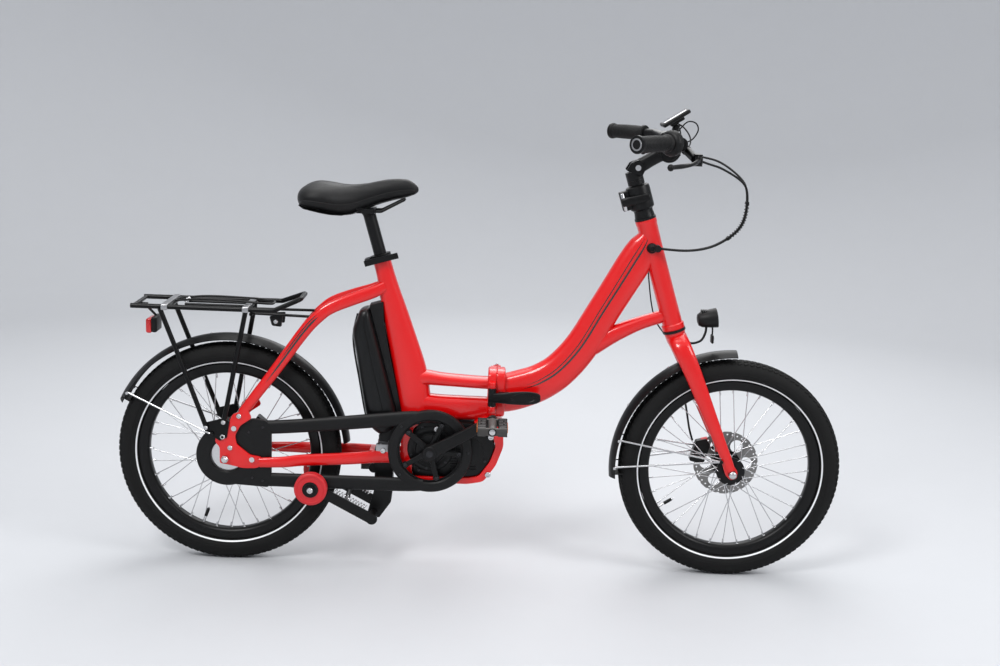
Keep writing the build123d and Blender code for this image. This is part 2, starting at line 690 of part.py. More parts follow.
def make_fender(x, start, sweep_angle, stays, mount, neighbours, name):
    """A curved mudguard with wire stays on each side, trimmed to seat on the parts that carry it."""
    crown = fender_radius
    with BuildPart() as fender:
        with BuildSketch(radial_plane(x, start)) as section:
            with BuildLine():
                outer = ThreePointArc((crown - 12, -fender_half_width), (crown, 0), (crown - 12, fender_half_width))
                tip = Line(outer @ 1, (crown - 12 - fender_sheet, fender_half_width - 0.6))
                inner = ThreePointArc(tip @ 1, (crown - fender_sheet, 0),
                                      (crown - 12 - fender_sheet, -fender_half_width + 0.6))
                Line(inner @ 1, outer @ 0)
            make_face()
        revolve(section.sketch, axis=axle_axis(x), revolution_arc=sweep_angle)
        for turn in stays:
            a = radians(turn)
            for flank in (-1, 1):
                cross_rod(x + mount[0], axle_z + mount[1], 4, flank * mount[3], flank * (mount[2] + 2))
                end = spot(x + (crown - 13) * cos(a), axle_z + (crown - 13) * sin(a), flank * (fender_half_width + 1.6))
                rod(spot(x + mount[0], axle_z + mount[1], flank * mount[2]), end, 2.2)
        for neighbour in neighbours:
            add(neighbour.part, mode=Mode.SUBTRACT)
    keep(fender, name)


make_fender(0, 7, 148, (149,), (-30, 58, 75.5, dropout_out + dropout_thickness + 3.2), (), "rear_fender")

rack_radius = 5.5
rack_out = 65.0
rack_level = 604.0

with BuildPart() as rack:
    bent_rod([spot(-212, rack_level, -rack_out + 4), spot(108, rack_level, -rack_out), spot(165, 628, -rack_out + 22),
              spot(165, 628, rack_out - 22), spot(108, rack_level, rack_out), spot(-212, rack_level, rack_out - 4)],
             rack_radius, 16)
    for rung in (-206, -128, 48):
        cross_rod(rung, rack_level, 4.5, -rack_out, rack_out)
    for flank in (-1, 1):
        rod(spot(-100, rack_level, flank * 20), spot(48, rack_level, flank * 20), 3)
        bent_rod([spot(-146, rack_level - 4, flank * rack_out), spot(-110, 508, flank * 66),
                  spot(-42, 332, flank * 73.2)], rack_radius, 30)
        rod(spot(46, rack_level, flank * rack_out), spot(-2, 346, flank * 73.2), rack_radius)
        slab([(-50, 340), (-44, 322), (-12, 300), (4, 308), (10, 346), (-8, 352)],
             *sorted((flank * (dropout_out + dropout_thickness + 0.1), flank * (dropout_out + dropout_thickness + 3))))
        rod(spot(52, 590, flank * 30), spot(186, 589, flank * 40), 3.2)
        rod(spot(52, 588, flank * 30), spot(52, rack_level, flank * 30), 3.2)
    cross_rod(52, 588, 4.5, -34, 34)
    add(seatstays.part, mode=Mode.SUBTRACT)
keep(rack, "rack")

with BuildPart() as tail_light:
    slab([(-184, 540), (-160, 535), (-152, 552), (-158, 572), (-180, 574)], -24, 24, 3)
    rod(spot(-170, 572, 0), spot(-196, 596.4, 0), 3)
    slab([(-212, 594), (-190, 594), (-190, 600.5), (-212, 600.5)], -10, 10)
    cross_rod(-206, rack_level, 4.5 + 0.05, -20, 20, mode=Mode.SUBTRACT)
keep(tail_light, "tail_light")


def make_caliper(points, low, high, disc_x, disc_out, disc_radius, mount):
    """A brake caliper with a slot that the disc turns in and a piston cap, cut to seat on its mount."""
    with BuildPart() as caliper:
        slab(points, low, high, 4)
        middle_x = sum(p[0] for p in points) / len(points)
        middle_z = sum(p[1] for p in points) / len(points)
        cross_rod(middle_x, middle_z, 12, low - 1.5, high)
        round_slab(disc_x, axle_z, disc_radius + 3, disc_out - 2.5, disc_out + 2.5, Mode.SUBTRACT)
        add(mount.part, mode=Mode.SUBTRACT)
    return caliper


rear_caliper = make_caliper([(34, 300), (66, 282), (82, 312), (56, 334)], -60.8, -34, 0,
                            rear_rotor_out, rear_rotor_radius, dropouts)
keep(rear_caliper, "rear_caliper")

# ======================= Front frame =======================

front_face = hinge_x + plate_gap

with BuildPart() as front_frame:
    slab(
        [(front_face, hinge_low + 2), (640, 372), (715, 399.5), (760, 430), (815, 493), (848, 523), (879, 596),
         (943, 707), (968, 790), (930, 826), (910, 808), (881.5, 756), (819, 638), (756, 526), (711, 492),
         (636, 468), (front_face, hinge_high - 2)],
        -main_tube_half_width, main_tube_half_width,
    )
    slab([(835, 510), (892, 559.5), (985, 599), (990, 630), (879, 596), (850, 560)], -20, 20)
    slab(
        [(front_face, hinge_low), (front_face + plate_thickness, hinge_low),
         (front_face + plate_thickness, hinge_high), (front_face, hinge_high)],
        -plate_left_edge, plate_outer,
    )
    hinge_lug(*knuckle_levels[1], 12)
    hinge_knuckle(*knuckle_levels[1])
    rod(steer.origin, steer.from_local_coords((0, 0, head_length)), head_tube_radius)
    rod(steer.origin, steer.from_local_coords((0, 0, 12)), head_tube_radius + 3)
    rod(steer.from_local_coords((0, 0, head_length - 10)), steer.from_local_coords((0, 0, head_length)),
        head_tube_radius + 1.5)
    rod(steer.from_local_coords((0, 0, -1)), steer.from_local_coords((0, 0, head_length + 1)), head_bore, Mode.SUBTRACT)
    hinge_knuckle(hinge_low, hinge_high, Mode.SUBTRACT, hinge_pin_radius + running_fit)
keep(front_frame, "front_frame")

with BuildPart() as headset:
    for low, high in ((0.2, 14), (head_length - 14, head_length - 0.2)):
        rod(steer.from_local_coords((0, 0, low)), steer.from_local_coords((0, 0, high)), head_bore - 0.02)
        rod(steer.from_local_coords((0, 0, low - 1)), steer.from_local_coords((0, 0, high + 1)),
            steerer_radius + running_fit, Mode.SUBTRACT)

with BuildPart() as fold_lever:
    rod(spot(lever_pin_x, lever_low, lever_pin_out), spot(lever_pin_x, lever_high, lever_pin_out), 9)
    slab([(600, 404), (640, 400), (690, 404), (714, 416), (714, 428), (690, 437), (640, 438), (600, 434)],
         lever_pin_out + 2, lever_pin_out + 10, 5)
    slab([(lever_pin_x + 14, 408), (lever_pin_x + 40, 408), (lever_pin_x + 40, 430), (lever_pin_x + 14, 430)],
         plate_outer + seat_gap, lever_pin_out + 3)
    rod(spot(lever_pin_x, lever_low - 1, lever_pin_out), spot(lever_pin_x, lever_high + 1, lever_pin_out),
        3 + running_fit, Mode.SUBTRACT)
keep(fold_lever, "fold_lever")

# ======================= Fork =======================

crown_low = -52.0
crown_high = -6.0
blade_foot_out = 56.0

with BuildPart() as fork:
    rod(steer.from_local_coords((0, 0, crown_low)), steer.from_local_coords((0, 0, head_length + 30)), steerer_radius)
    rod(steer.from_local_coords((0, 0, crown_high - 1)), steer.from_local_coords((0, 0, -0.3)), head_tube_radius + 2)
    with BuildSketch(Plane(origin=steer.from_local_coords((0, 0, crown_low)), x_dir=steer.x_dir, z_dir=steer.z_dir),
                     mode=Mode.PRIVATE) as crown:
        RectangleRounded(46, 2 * fork_half_width + 20, 12)
    extrude(crown.sketch, amount=crown_high - crown_low)
    for flank in (-1, 1):
        top = steer.from_local_coords((4, -flank * fork_half_width, crown_low + 20))
        foot = spot(front_x, axle_z, flank * blade_foot_out)
        along = foot - top
        sections = []
        for share, depth, half in ((0, 20, 11), (0.5, 15, 10), (0.93, 11, 6.5)):
            with BuildSketch(Plane(origin=top + along * share, x_dir=(1, 0, 0.35), z_dir=along),
                             mode=Mode.PRIVATE) as section:
                Ellipse(depth, half)
            sections.append(section.sketch)
        loft(Sketch() + sections)
        slab([(1138, 282), (1152, 296), (1174, 262), (1170, 248), (1158, 246), (1148, 256)],
             *sorted((flank * (front_hub_half + 1), flank * (front_hub_half + 8))), 3)
        cross_rod(front_x, axle_z, front_axle_radius + 0.1, flank * 40, flank * 70, mode=Mode.SUBTRACT)
    slab([(1112, 318), (1140, 330), (1146, 306), (1116, 298)], -50, -42, 2)
    rod(steer.from_local_coords((0, 0, crown_low - 1)), steer.from_local_coords((0, 0, head_length + 40)),
        stem_core_radius + running_fit, Mode.SUBTRACT)
keep(fork, "fork")

front_caliper = make_caliper([(1074, 262), (1108, 254), (1122, 300), (1112, 316), (1088, 310)], -51, -33, front_x,
                             front_rotor_out, front_rotor_radius, fork)

with BuildPart() as fork_hardware:
    cross_rod(front_x, axle_z, front_axle_radius, -64, 64)
    for flank in (-1, 1):
        with BuildSketch(side.offset(flank * (front_hub_half + 8.1))) as nut:
            with Locations((front_x, axle_z)):
                RegularPolygon(10, 6)
        extrude(nut.sketch, amount=flank * 7)
    add(front_caliper.part)
keep(fork_hardware, "fork_hardware")

make_fender(front_x, 90, 96, (180, 166), (-28, 30, 61, front_hub_half + 10), (fork, fork_hardware), "front_fender")

with BuildPart() as headlight:
    rod(spot(1069, 606, 0), spot(1112, 613, 0), 20)
    bent_rod([spot(1038, 556, 12), spot(1066, 556, 12), spot(1084, 574, 12), spot(1088, 604, 12)], 3, 8)
    rod(spot(1103, 594, 0), spot(1104, 570, 0), 2)
    slab([(1095, 556), (1111, 556), (1112, 574), (1096, 574)], -10, 10)
    add(fork.part, mode=Mode.SUBTRACT)
keep(headlight, "headlight")

# ======================= Stem and bar =======================

clamp_low = head_length + 25
clamp_high = head_length + 80
core_top = clamp_high + 12

with BuildPart() as stem_base:
    rod(steer.from_local_coords((0, 0, head_length + 0.3)), steer.from_local_coords((0, 0, clamp_low)), 24)
    rod(steer.from_local_coords((0, 0, clamp_low)), steer.from_local_coords((0, 0, clamp_high)), 27)
    with Locations(steer.location * Location((-32, 0, (clamp_low + clamp_high) / 2))):
        Box(24, 26, 44)
    rod(steer.from_local_coords((0, 0, head_length)), steer.from_local_coords((0, 0, head_length + 30.2)),
        steerer_radius + 0.02, Mode.SUBTRACT)
    rod(steer.from_local_coords((0, 0, head_length)), steer.from_local_coords((0, 0, clamp_high + 1)),
        stem_core_radius + running_fit, Mode.SUBTRACT)
keep(stem_base, "stem_base")

with BuildPart() as stem_lever:
    with Locations(steer.location * Location((-38, -17.5, (clamp_low + clamp_high) / 2))):
        Cylinder(4.2, 40)
    with Locations(steer.location * Location((-12, -31, (clamp_low + clamp_high) / 2))):
        Box(64, 6, 20)
    with Locations(steer.location * Location((-38, -26, (clamp_low + clamp_high) / 2))):
        Box(8, 14, 20)
keep(stem_lever, "stem_lever")

with BuildPart() as stem_core:
    rod(steer.from_local_coords((0, 0, 120)), steer.from_local_coords((0, 0, core_top)), stem_core_radius)
    rod(steer.from_local_coords((0, 0, clamp_high + 2)), steer.from_local_coords((0, 0, core_top)), 19)
    rod(steer.from_local_coords((0, 0, core_top)), steer.from_local_coords((0, 0, core_top + 9)), 8)
keep(stem_core, "stem_core")

with BuildPart() as stem_neck:
    rod(steer.from_local_coords((0, 0, core_top + seat_gap)), steer.from_local_coords((0, 0, core_top + 20)), 19)
    for flank in (-1, 1):
        slab([(884, 941), (920, 930), (928, 948), (912, 966), (894, 958)], *sorted((flank * 14.5, flank * 21)), 3)
    rod(steer.from_local_coords((0, 0, core_top - 1)), steer.from_local_coords((0, 0, core_top + 9.5)),
        8 + running_fit, Mode.SUBTRACT)
    round_slab(stem_pivot_x, stem_pivot_z, 18.5, -14.4, 14.4, Mode.SUBTRACT)
    cross_rod(stem_pivot_x, stem_pivot_z, 5 + running_fit, -30, 30, mode=Mode.SUBTRACT)
keep(stem_neck, "stem_neck")

with BuildPart() as stem_arm:
    round_slab(stem_pivot_x, stem_pivot_z, 17, -14, 14)
    slab([(902, 962), (968, 1004), (988, 974), (918, 934)], -12, 12)
    round_slab(bar_clamp_x, bar_clamp_z, 21, -20, 20)
    cross_rod(stem_pivot_x, stem_pivot_z, 5, -23, 23)
    round_slab(bar_clamp_x, bar_clamp_z, bar_radius + 0.06, -30, 30, Mode.SUBTRACT)
keep(stem_arm, "stem_arm")

grip_root = (968.0, 1015.0, 200.0)
grip_end = (874.7, bar_height, bar_half_width)
grip_radius = 17.0
grip_start = 29.5
grip_length = 106.5


def bar_spot(along, flank):
    """A point on the grip's centre line, a distance from its root."""
    root = spot(grip_root[0], grip_root[1], flank * grip_root[2])
    end = spot(grip_end[0], grip_end[1], flank * grip_end[2])
    return root + (end - root).normalized() * along


with BuildPart() as handlebar:
    for flank in (-1, 1):
        bent_rod([spot(bar_clamp_x, bar_clamp_z, 0), spot(bar_clamp_x, bar_clamp_z, flank * 40),
                  spot(988, 1008, flank * 118), spot(*grip_root[:2], flank * grip_root[2]),
                  bar_spot(136, flank)], bar_radius, 30)
keep(handlebar, "handlebar")

with BuildPart() as grips:
    for flank in (-1, 1):
        rod(bar_spot(grip_start, flank), bar_spot(grip_start + grip_length, flank), grip_radius)
        rod(bar_spot(grip_start + 2, flank), bar_spot(grip_start + 8, flank), grip_radius + 2)
        rod(bar_spot(grip_start - 1, flank), bar_spot(138, flank), bar_radius + 0.06, Mode.SUBTRACT)
keep(grips, "grips")

with BuildPart() as shifter:
    rod(bar_spot(9.5, 1), bar_spot(grip_start - 0.4, 1), 27)
    rod(bar_spot(8, 1), bar_spot(grip_start, 1), bar_radius + running_fit, Mode.SUBTRACT)
keep(shifter, "shifter")

lever_hub_x = 1020.0
lever_hub_z = 980.0
lever_hub_out = 181.0
lever_hub_half = 9.0

with BuildPart() as controls:
    slab([(962, 1037), (1019, 1075), (1014, 1083), (957, 1045)], -34, 34, 2)
    slab([(972, 1003), (990, 1003), (1006, 1068), (984, 1053)], -14, 14)
    for flank in (-1, 1):
        rod(spot(986, 1007.6, flank * 132), spot(984, 1010, flank * 150), 15)
        rod(spot(1002, 996, flank * 122), spot(1012, lever_hub_z, flank * 164), 11)
        ear = spot(lever_hub_x, lever_hub_z, flank * lever_hub_out)
        rod(ear - Vector(0, 0, lever_hub_half + 3), ear + Vector(0, 0, lever_hub_half + 3), 3)
        for level in (-1, 1):
            centre = spot(lever_hub_x - 2, lever_hub_z + level * (lever_hub_half + 2), flank * (lever_hub_out - 10))
            with Locations(centre):
                Box(18, 34, 3)
    add(handlebar.part, mode=Mode.SUBTRACT)
    add(stem_arm.part, mode=Mode.SUBTRACT)
keep(controls, "controls")

for flank, name in ((1, "brake_lever_right"), (-1, "brake_lever_left")):
    with BuildPart() as lever:
        hub = spot(lever_hub_x, lever_hub_z, flank * lever_hub_out)
        knee = spot(1006, 974, flank * 216)
        tip = spot(950, 968, flank * 268)
        rod(hub - Vector(0, 0, lever_hub_half), hub + Vector(0, 0, lever_hub_half), 8)
        rod(hub, knee, 5.5)
        rod(knee, tip, 5)
        for joint, ball in ((knee, 6.5), (tip, 7.5)):
            with Locations(joint):
                Sphere(ball)
        rod(hub - Vector(0, 0, lever_hub_half + 1), hub + Vector(0, 0, lever_hub_half + 1), 3 + running_fit, Mode.SUBTRACT)
    keep(lever, name)

# ======================= Brake hoses and cables =======================

hose_radius = 2.5
hose_gap = 6.4
grommet_x = 962.0
grommet_z = 771.0

with BuildPart() as cable_grommet:
    cross_rod(grommet_x, grommet_z, 8, main_tube_half_width + 0.05, main_tube_half_width + 17)
    add(front_frame.part, mode=Mode.SUBTRACT)

with BuildPart() as frame_fittings:
    add(headset.part)
    add(cable_grommet.part)
keep(frame_fittings, "frame_fittings")


def hose(name, points):
    """A hose along a hand-set route: straight runs joined by arcs as large as the runs allow."""
    corners = [spot(*p) for p in points]
    runs = [b - a for a, b in zip(corners, corners[1:])]
    bends = []
    for before, after in zip(runs, runs[1:]):
        turn = radians(before.get_angle(after))
        bends.append(0.45 * min(before.length, after.length) / tan(turn / 2))
    with BuildLine(mode=Mode.PRIVATE):
        route = FilletPolyline(*corners, radius=bends)
    with BuildSketch(Plane(origin=route @ 0, z_dir=route % 0), mode=Mode.PRIVATE) as section:
        Circle(hose_radius)
    sweep(section.sketch, path=route)
    print(name, "length", round(route.length, 1), "bend radii", [round(b, 1) for b in bends])


def beside(points, shift):
    """The same route moved towards the bicycle's middle."""
    return [(x, z, out - shift) for x, z, out in points]


lower_route = [(970.5, 771, 38.2), (1008, 768, 41), (1052, 771, 42.5), (1094, 784, 44), (1116, 801, 47)]
middle_route = [(1116, 801, 47), (1136.7, 817, 49.8), (1151.5, 852, 54), (1151, 880, 58)]
upper_route = [(1151, 880, 58), (1150.5, 908, 62), (1134, 932, 72), (1108, 946, 88)]
right_route = [(1108, 946, 88), (1082, 960, 104), (1054, 968, 124), (1034, 974, 136), (1020, 980.5, 139)]
upper_left_route = [(1151, 880, 51.6), (1150.5, 908, 55.6), (1140, 934, 40), (1120, 950, 14)]
left_route = [(1120, 950, 14), (1100, 966, -12), (1070, 972, -56), (1036, 974, -112), (1020, 980.5, -137)]

for name, routes in (
    ("hose_lower", (lower_route, beside(lower_route, hose_gap))),
    ("hose_middle", (middle_route, beside(middle_route, hose_gap))),
    ("hose_upper", (upper_route, upper_left_route)),
    ("hose_bar", (right_route, left_route)),
):
    with BuildPart() as hoses:
        for route in routes:
            hose(name, route)
    keep(hoses, name)
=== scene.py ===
"""The finished look of a folding electric bicycle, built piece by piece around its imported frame."""

import math

import bmesh
import bpy
from mathutils import Matrix, Vector


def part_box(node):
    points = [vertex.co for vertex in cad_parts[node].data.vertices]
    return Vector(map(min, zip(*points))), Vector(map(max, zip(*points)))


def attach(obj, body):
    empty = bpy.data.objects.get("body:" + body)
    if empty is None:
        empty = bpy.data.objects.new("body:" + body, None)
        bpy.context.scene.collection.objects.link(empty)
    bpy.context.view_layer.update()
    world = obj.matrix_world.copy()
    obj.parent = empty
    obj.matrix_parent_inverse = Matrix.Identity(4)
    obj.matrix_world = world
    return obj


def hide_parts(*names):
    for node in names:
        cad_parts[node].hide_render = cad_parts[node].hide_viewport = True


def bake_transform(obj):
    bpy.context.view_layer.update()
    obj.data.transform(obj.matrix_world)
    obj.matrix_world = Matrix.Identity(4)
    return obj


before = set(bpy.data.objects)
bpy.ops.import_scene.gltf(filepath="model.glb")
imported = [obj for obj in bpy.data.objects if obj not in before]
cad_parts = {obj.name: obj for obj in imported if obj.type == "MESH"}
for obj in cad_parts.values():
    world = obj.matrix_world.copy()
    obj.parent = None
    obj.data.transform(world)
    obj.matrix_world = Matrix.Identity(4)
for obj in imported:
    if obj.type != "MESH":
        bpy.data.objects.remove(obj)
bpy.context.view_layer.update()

bl_info = {
    "name": "Folding electric bicycle", "version": (1, 0, 0), "blender": (4, 5, 0),
    "location": "3D View > Sidebar > Bicycle",
    "description": "Builds the finished pieces of a folding electric bicycle around its CAD frame",
    "category": "Object",
}

MM = 0.001
SEAT_TOP = (343, 717)
SEAT_LEAN = math.radians(16.4)
HEAD_LOW = (1013.5, 584)
HEAD_LEAN = math.radians(17.56)
HEAD_LENGTH = 260
ACROSS = Vector((0, 1, 0))
UP = Vector((0, 0, 1))
SIDES = (-1, 1)
# Edges sharper than this stay crisp, and points closer than this many metres are joined.
SHARP = math.radians(38)
WELD = 1e-6
# Sizes in mm. A crank's side is (1 for right, its angle, its name).
BOLT_RADIUS = 4.5
CRANK_LENGTH = 165
CRANK_SIDES = ((1, 32, "right"), (-1, 212, "left"))
PEDAL_OUT = 150
# How the shared effects show in every finish.
DUST_COLOUR = (0.42, 0.40, 0.37)
GRAIN_ROUGHNESS, SCUFF_ROUGHNESS, DUST_ROUGHNESS = 0.12, 0.3, 0.4
BUMP_STRENGTH = 0.6


def middle(node):
    """The middle of a CAD node's box."""
    low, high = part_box(node)
    return (Vector(low) + Vector(high)) / 2


REAR = middle("rear_rim")
FRONT = middle("front_rim")
CRANK = Vector((REAR.x + 466 * MM, 0, 288 * MM))


def spot(x, z, out=0.0):
    """A point in metres from sizes in mm: ahead of the rear axle, above the ground, out to the right."""
    return Vector((REAR.x + x * MM, -out * MM, z * MM))


def leaning(base, lean, x, out, z):
    """A point in a leaning tube's own frame: x ahead of it, out to the right, z up along it."""
    ahead = Vector((math.cos(lean), 0, math.sin(lean)))
    along = Vector((-math.sin(lean), 0, math.cos(lean)))
    return spot(*base) + (ahead * x + along * z - ACROSS * out) * MM


def by_seat(x, out, z):
    """A point from the top of the seat tube."""
    return leaning(SEAT_TOP, SEAT_LEAN, x, out, z)


def by_head(x, out, z):
    """A point from the foot of the head tube."""
    return leaning(HEAD_LOW, HEAD_LEAN, x, out, z)


# ---------------------------------------------------------------- sizes and colours


def length(name, description, default):
    """A length setting in metres."""
    return bpy.props.FloatProperty(name=name, description=description, default=default, min=0.0,
                                   unit="LENGTH", subtype="DISTANCE", precision=4)


def tint(name, description, default):
    """A colour setting."""
    return bpy.props.FloatVectorProperty(name=name, description=description, default=default, size=3,
                                         min=0.0, max=1.0, subtype="COLOR")


class BicycleSizes(bpy.types.PropertyGroup):
    """Sizes that change the look of the pieces without changing the frame"""

    tyre_radius: length("Tyre radius", "Outer radius of both tyres", 0.258)
    tyre_half_width: length("Tyre half width", "Half the width of a tyre", 0.027)
    tread_blocks: bpy.props.IntProperty(name="Tread blocks", description="Blocks in one row of a tyre",
                                        default=110, min=12, max=400)
    spokes: bpy.props.IntProperty(name="Spokes", description="Spoke nipples in one wheel", default=36,
                                  min=8, max=72)
    stripe: length("Stripe width", "Width of one painted stripe", 0.0045)
    hose_radius: length("Hose radius", "Radius of a brake hose", 0.0025)
    cable_radius: length("Cable radius", "Radius of a thin control cable", 0.0016)
    stay_radius: length("Stay radius", "Radius of a mudguard stay", 0.0022)
    bolt_radius: length("Bolt head radius", "Radius of an M5 socket head", 0.0045)
    floor_radius: length("Floor radius", "Radius of the flat part of the studio floor", 3.4)
    lens: bpy.props.FloatProperty(name="Lens", description="Focal length of the camera", default=49.1,
                                  unit="CAMERA")


class BicycleColours(bpy.types.PropertyGroup):
    """Colours of the finishes"""

    paint: tint("Frame paint", "Gloss enamel on the frame and fork", (0.66, 0.0015, 0.002))
    stripes: tint("Stripes", "Painted stripes", (0.010, 0.010, 0.011))
    black: tint("Black metal", "Anodised and painted metal parts", (0.0022, 0.0022, 0.0025))
    plastic: tint("Black plastic", "Moulded covers", (0.0025, 0.0025, 0.0028))
    rubber: tint("Tyre rubber", "Tyre casings and tread", (0.0022, 0.0022, 0.0022))
    steel: tint("Bright steel", "Spokes, axles and bolts", (0.62, 0.62, 0.63))
    roller: tint("Roller red", "Transport rollers", (0.55, 0.012, 0.018))
    floor: tint("Floor", "Studio floor", (0.52, 0.53, 0.55))


def sizes():
    """The sizes in use."""
    return bpy.context.scene.bicycle_sizes


def colours():
    """The colours in use."""
    return bpy.context.scene.bicycle_colours


# ---------------------------------------------------------------- surface effects and finishes


def effect(name, inputs, outputs, fill):
    """A shader node group, built once, whose nodes are made by fill."""
    group = bpy.data.node_groups.get(name)
    if group:
        return group
    group = bpy.data.node_groups.new(name, "ShaderNodeTree")
    for label, default in inputs:
        group.interface.new_socket(name=label, in_out="INPUT",
                                   socket_type="NodeSocketFloat").default_value = default
    for label in outputs:
        group.interface.new_socket(name=label, in_out="OUTPUT", socket_type="NodeSocketFloat")
    fill(group.nodes, group.links, group.nodes.new("NodeGroupInput"), group.nodes.new("NodeGroupOutput"))
    return group


def maths(nodes, links, operation, a, b, clamp=False):
    """One maths node fed by sockets or numbers."""
    node = nodes.new("ShaderNodeMath")
    node.operation = operation
    node.use_clamp = clamp
    for socket, value in zip(node.inputs, (a, b)):
        if isinstance(value, (int, float)):
            socket.default_value = value
        else:
            links.new(value, socket)
    return node.outputs[0]


def fill_grain(nodes, links, given, gives):
    """Fine moulded or cast grain with slow changes of tone."""
    place = nodes.new("ShaderNodeTexCoord").outputs["Object"]
    fine = nodes.new("ShaderNodeTexNoise")
    fine.inputs["Detail"].default_value = 4.0
    slow = nodes.new("ShaderNodeTexNoise")
    slow.inputs["Scale"].default_value = 9.0
    cells = nodes.new("ShaderNodeTexVoronoi")
    for texture in (fine, slow, cells):
        links.new(place, texture.inputs["Vector"])
    links.new(given.outputs["Scale"], fine.inputs["Scale"])
    links.new(given.outputs["Scale"], cells.inputs["Scale"])
    pebble = maths(nodes, links, "MULTIPLY", cells.outputs["Distance"], given.outputs["Pebble"])
    links.new(maths(nodes, links, "ADD", fine.outputs["Fac"], pebble), gives.inputs["Height"])
    both = maths(nodes, links, "ADD", maths(nodes, links, "MULTIPLY", fine.outputs["Fac"], 0.45),
                 maths(nodes, links, "MULTIPLY", slow.outputs["Fac"], 0.55))
    links.new(both, gives.inputs["Tone"])


def fill_dust(nodes, links, given, gives):
    """Dust that settles on faces that look up."""
    facing = nodes.new("ShaderNodeSeparateXYZ")
    links.new(nodes.new("ShaderNodeNewGeometry").outputs["Normal"], facing.inputs[0])
    patch = nodes.new("ShaderNodeTexNoise")
    patch.inputs["Scale"].default_value = 34.0
    patch.inputs["Detail"].default_value = 6.0
    links.new(nodes.new("ShaderNodeTexCoord").outputs["Object"], patch.inputs["Vector"])
    upward = maths(nodes, links, "MAXIMUM", facing.outputs["Z"], 0.0)
    spread = maths(nodes, links, "MULTIPLY", upward, maths(nodes, links, "POWER", patch.outputs["Fac"], 2.0))
    links.new(maths(nodes, links, "MULTIPLY", spread, given.outputs["Amount"], True), gives.inputs["Mask"])


def fill_scuffs(nodes, links, given, gives):
    """Fine scuffs and handling marks, drawn out along the piece."""
    place = nodes.new("ShaderNodeMapping")
    place.inputs["Scale"].default_value = (1.0, 5.0, 1.6)
    links.new(nodes.new("ShaderNodeTexCoord").outputs["Object"], place.inputs["Vector"])
    mark = nodes.new("ShaderNodeTexNoise")
    mark.inputs["Detail"].default_value = 8.0
    mark.inputs["Roughness"].default_value = 0.72
    links.new(place.outputs["Vector"], mark.inputs["Vector"])
    links.new(given.outputs["Scale"], mark.inputs["Scale"])
    over = maths(nodes, links, "SUBTRACT", mark.outputs["Fac"], 0.60, True)
    sharp = maths(nodes, links, "MULTIPLY", over, 9.0, True)
    links.new(maths(nodes, links, "MULTIPLY", sharp, given.outputs["Amount"], True), gives.inputs["Mask"])


def surface(name, colour, rough, metal=0.0, grain=600.0, pebble=0.0, depth=0.00004, tone=0.12, dust=0.12,
            scuff=0.10, worn=None, gloss=0.5, coat=0.0, coat_rough=0.05, clear=0.0, sheen=0.0):
    """A finish with grain, changes of tone, settled dust and scuffs."""
    material = bpy.data.materials.get(name)
    if material:
        return material
    material = bpy.data.materials.new(name)
    material.use_nodes = True
    nodes, links = material.node_tree.nodes, material.node_tree.links
    shader = nodes["Principled BSDF"]
    shader.inputs["Metallic"].default_value = metal
    shader.inputs["Specular IOR Level"].default_value = gloss
    shader.inputs["Coat Weight"].default_value = coat
    shader.inputs["Coat Roughness"].default_value = coat_rough
    shader.inputs["Transmission Weight"].default_value = clear
    shader.inputs["Sheen Weight"].default_value = sheen

    def using(group, **values):
        node = nodes.new("ShaderNodeGroup")
        node.node_tree = group
        for label, value in values.items():
            node.inputs[label].default_value = value
        return node

    grained = using(effect("Moulded grain", [("Scale", 600.0), ("Pebble", 0.0)], ["Height", "Tone"],
                           fill_grain),
                    Scale=grain, Pebble=pebble)
    dusty = using(effect("Settled dust", [("Amount", 0.1)], ["Mask"], fill_dust), Amount=dust)
    scuffed = using(effect("Scuffs", [("Scale", 40.0), ("Amount", 0.1)], ["Mask"], fill_scuffs),
                    Scale=42.0, Amount=scuff)

    def mixed(mask, a, b):
        node = nodes.new("ShaderNodeMix")
        node.data_type = "RGBA"
        links.new(mask, node.inputs["Factor"])
        for socket, value in ((node.inputs["A"], a), (node.inputs["B"], b)):
            if isinstance(value, tuple):
                socket.default_value = (*value, 1)
            else:
                links.new(value, socket)
        return node.outputs["Result"]

    darker = tuple(c * (1 - tone) for c in colour)
    lighter = tuple(min(1.0, c * (1 + tone)) for c in colour)
    base = mixed(grained.outputs["Tone"], darker, lighter)
    base = mixed(scuffed.outputs["Mask"], base, worn or tuple(min(1.0, c * 1.5 + 0.01) for c in colour))
    base = mixed(dusty.outputs["Mask"], base, DUST_COLOUR)
    links.new(base, shader.inputs["Base Color"])
    grainy = maths(nodes, links, "MULTIPLY", grained.outputs["Tone"], GRAIN_ROUGHNESS)
    varied = maths(nodes, links, "ADD", grainy, rough - GRAIN_ROUGHNESS / 2)
    rubbed = maths(nodes, links, "MULTIPLY", scuffed.outputs["Mask"], SCUFF_ROUGHNESS)
    varied = maths(nodes, links, "ADD", varied, rubbed)
    dull = maths(nodes, links, "MULTIPLY", dusty.outputs["Mask"], DUST_ROUGHNESS)
    varied = maths(nodes, links, "ADD", varied, dull, True)
    links.new(varied, shader.inputs["Roughness"])
    bump = nodes.new("ShaderNodeBump")
    bump.inputs["Distance"].default_value = depth
    bump.inputs["Strength"].default_value = BUMP_STRENGTH
    links.new(grained.outputs["Height"], bump.inputs["Height"])
    links.new(bump.outputs["Normal"], shader.inputs["Normal"])
    return material


def red_enamel():
    """Gloss enamel under lacquer."""
    return surface("Red enamel", tuple(colours().paint), 0.30, grain=260, depth=0.00002, tone=0.06,
                   dust=0.006, scuff=0.01, worn=(0.5, 0.01, 0.01), gloss=0.35, coat=0.6, coat_rough=0.03)


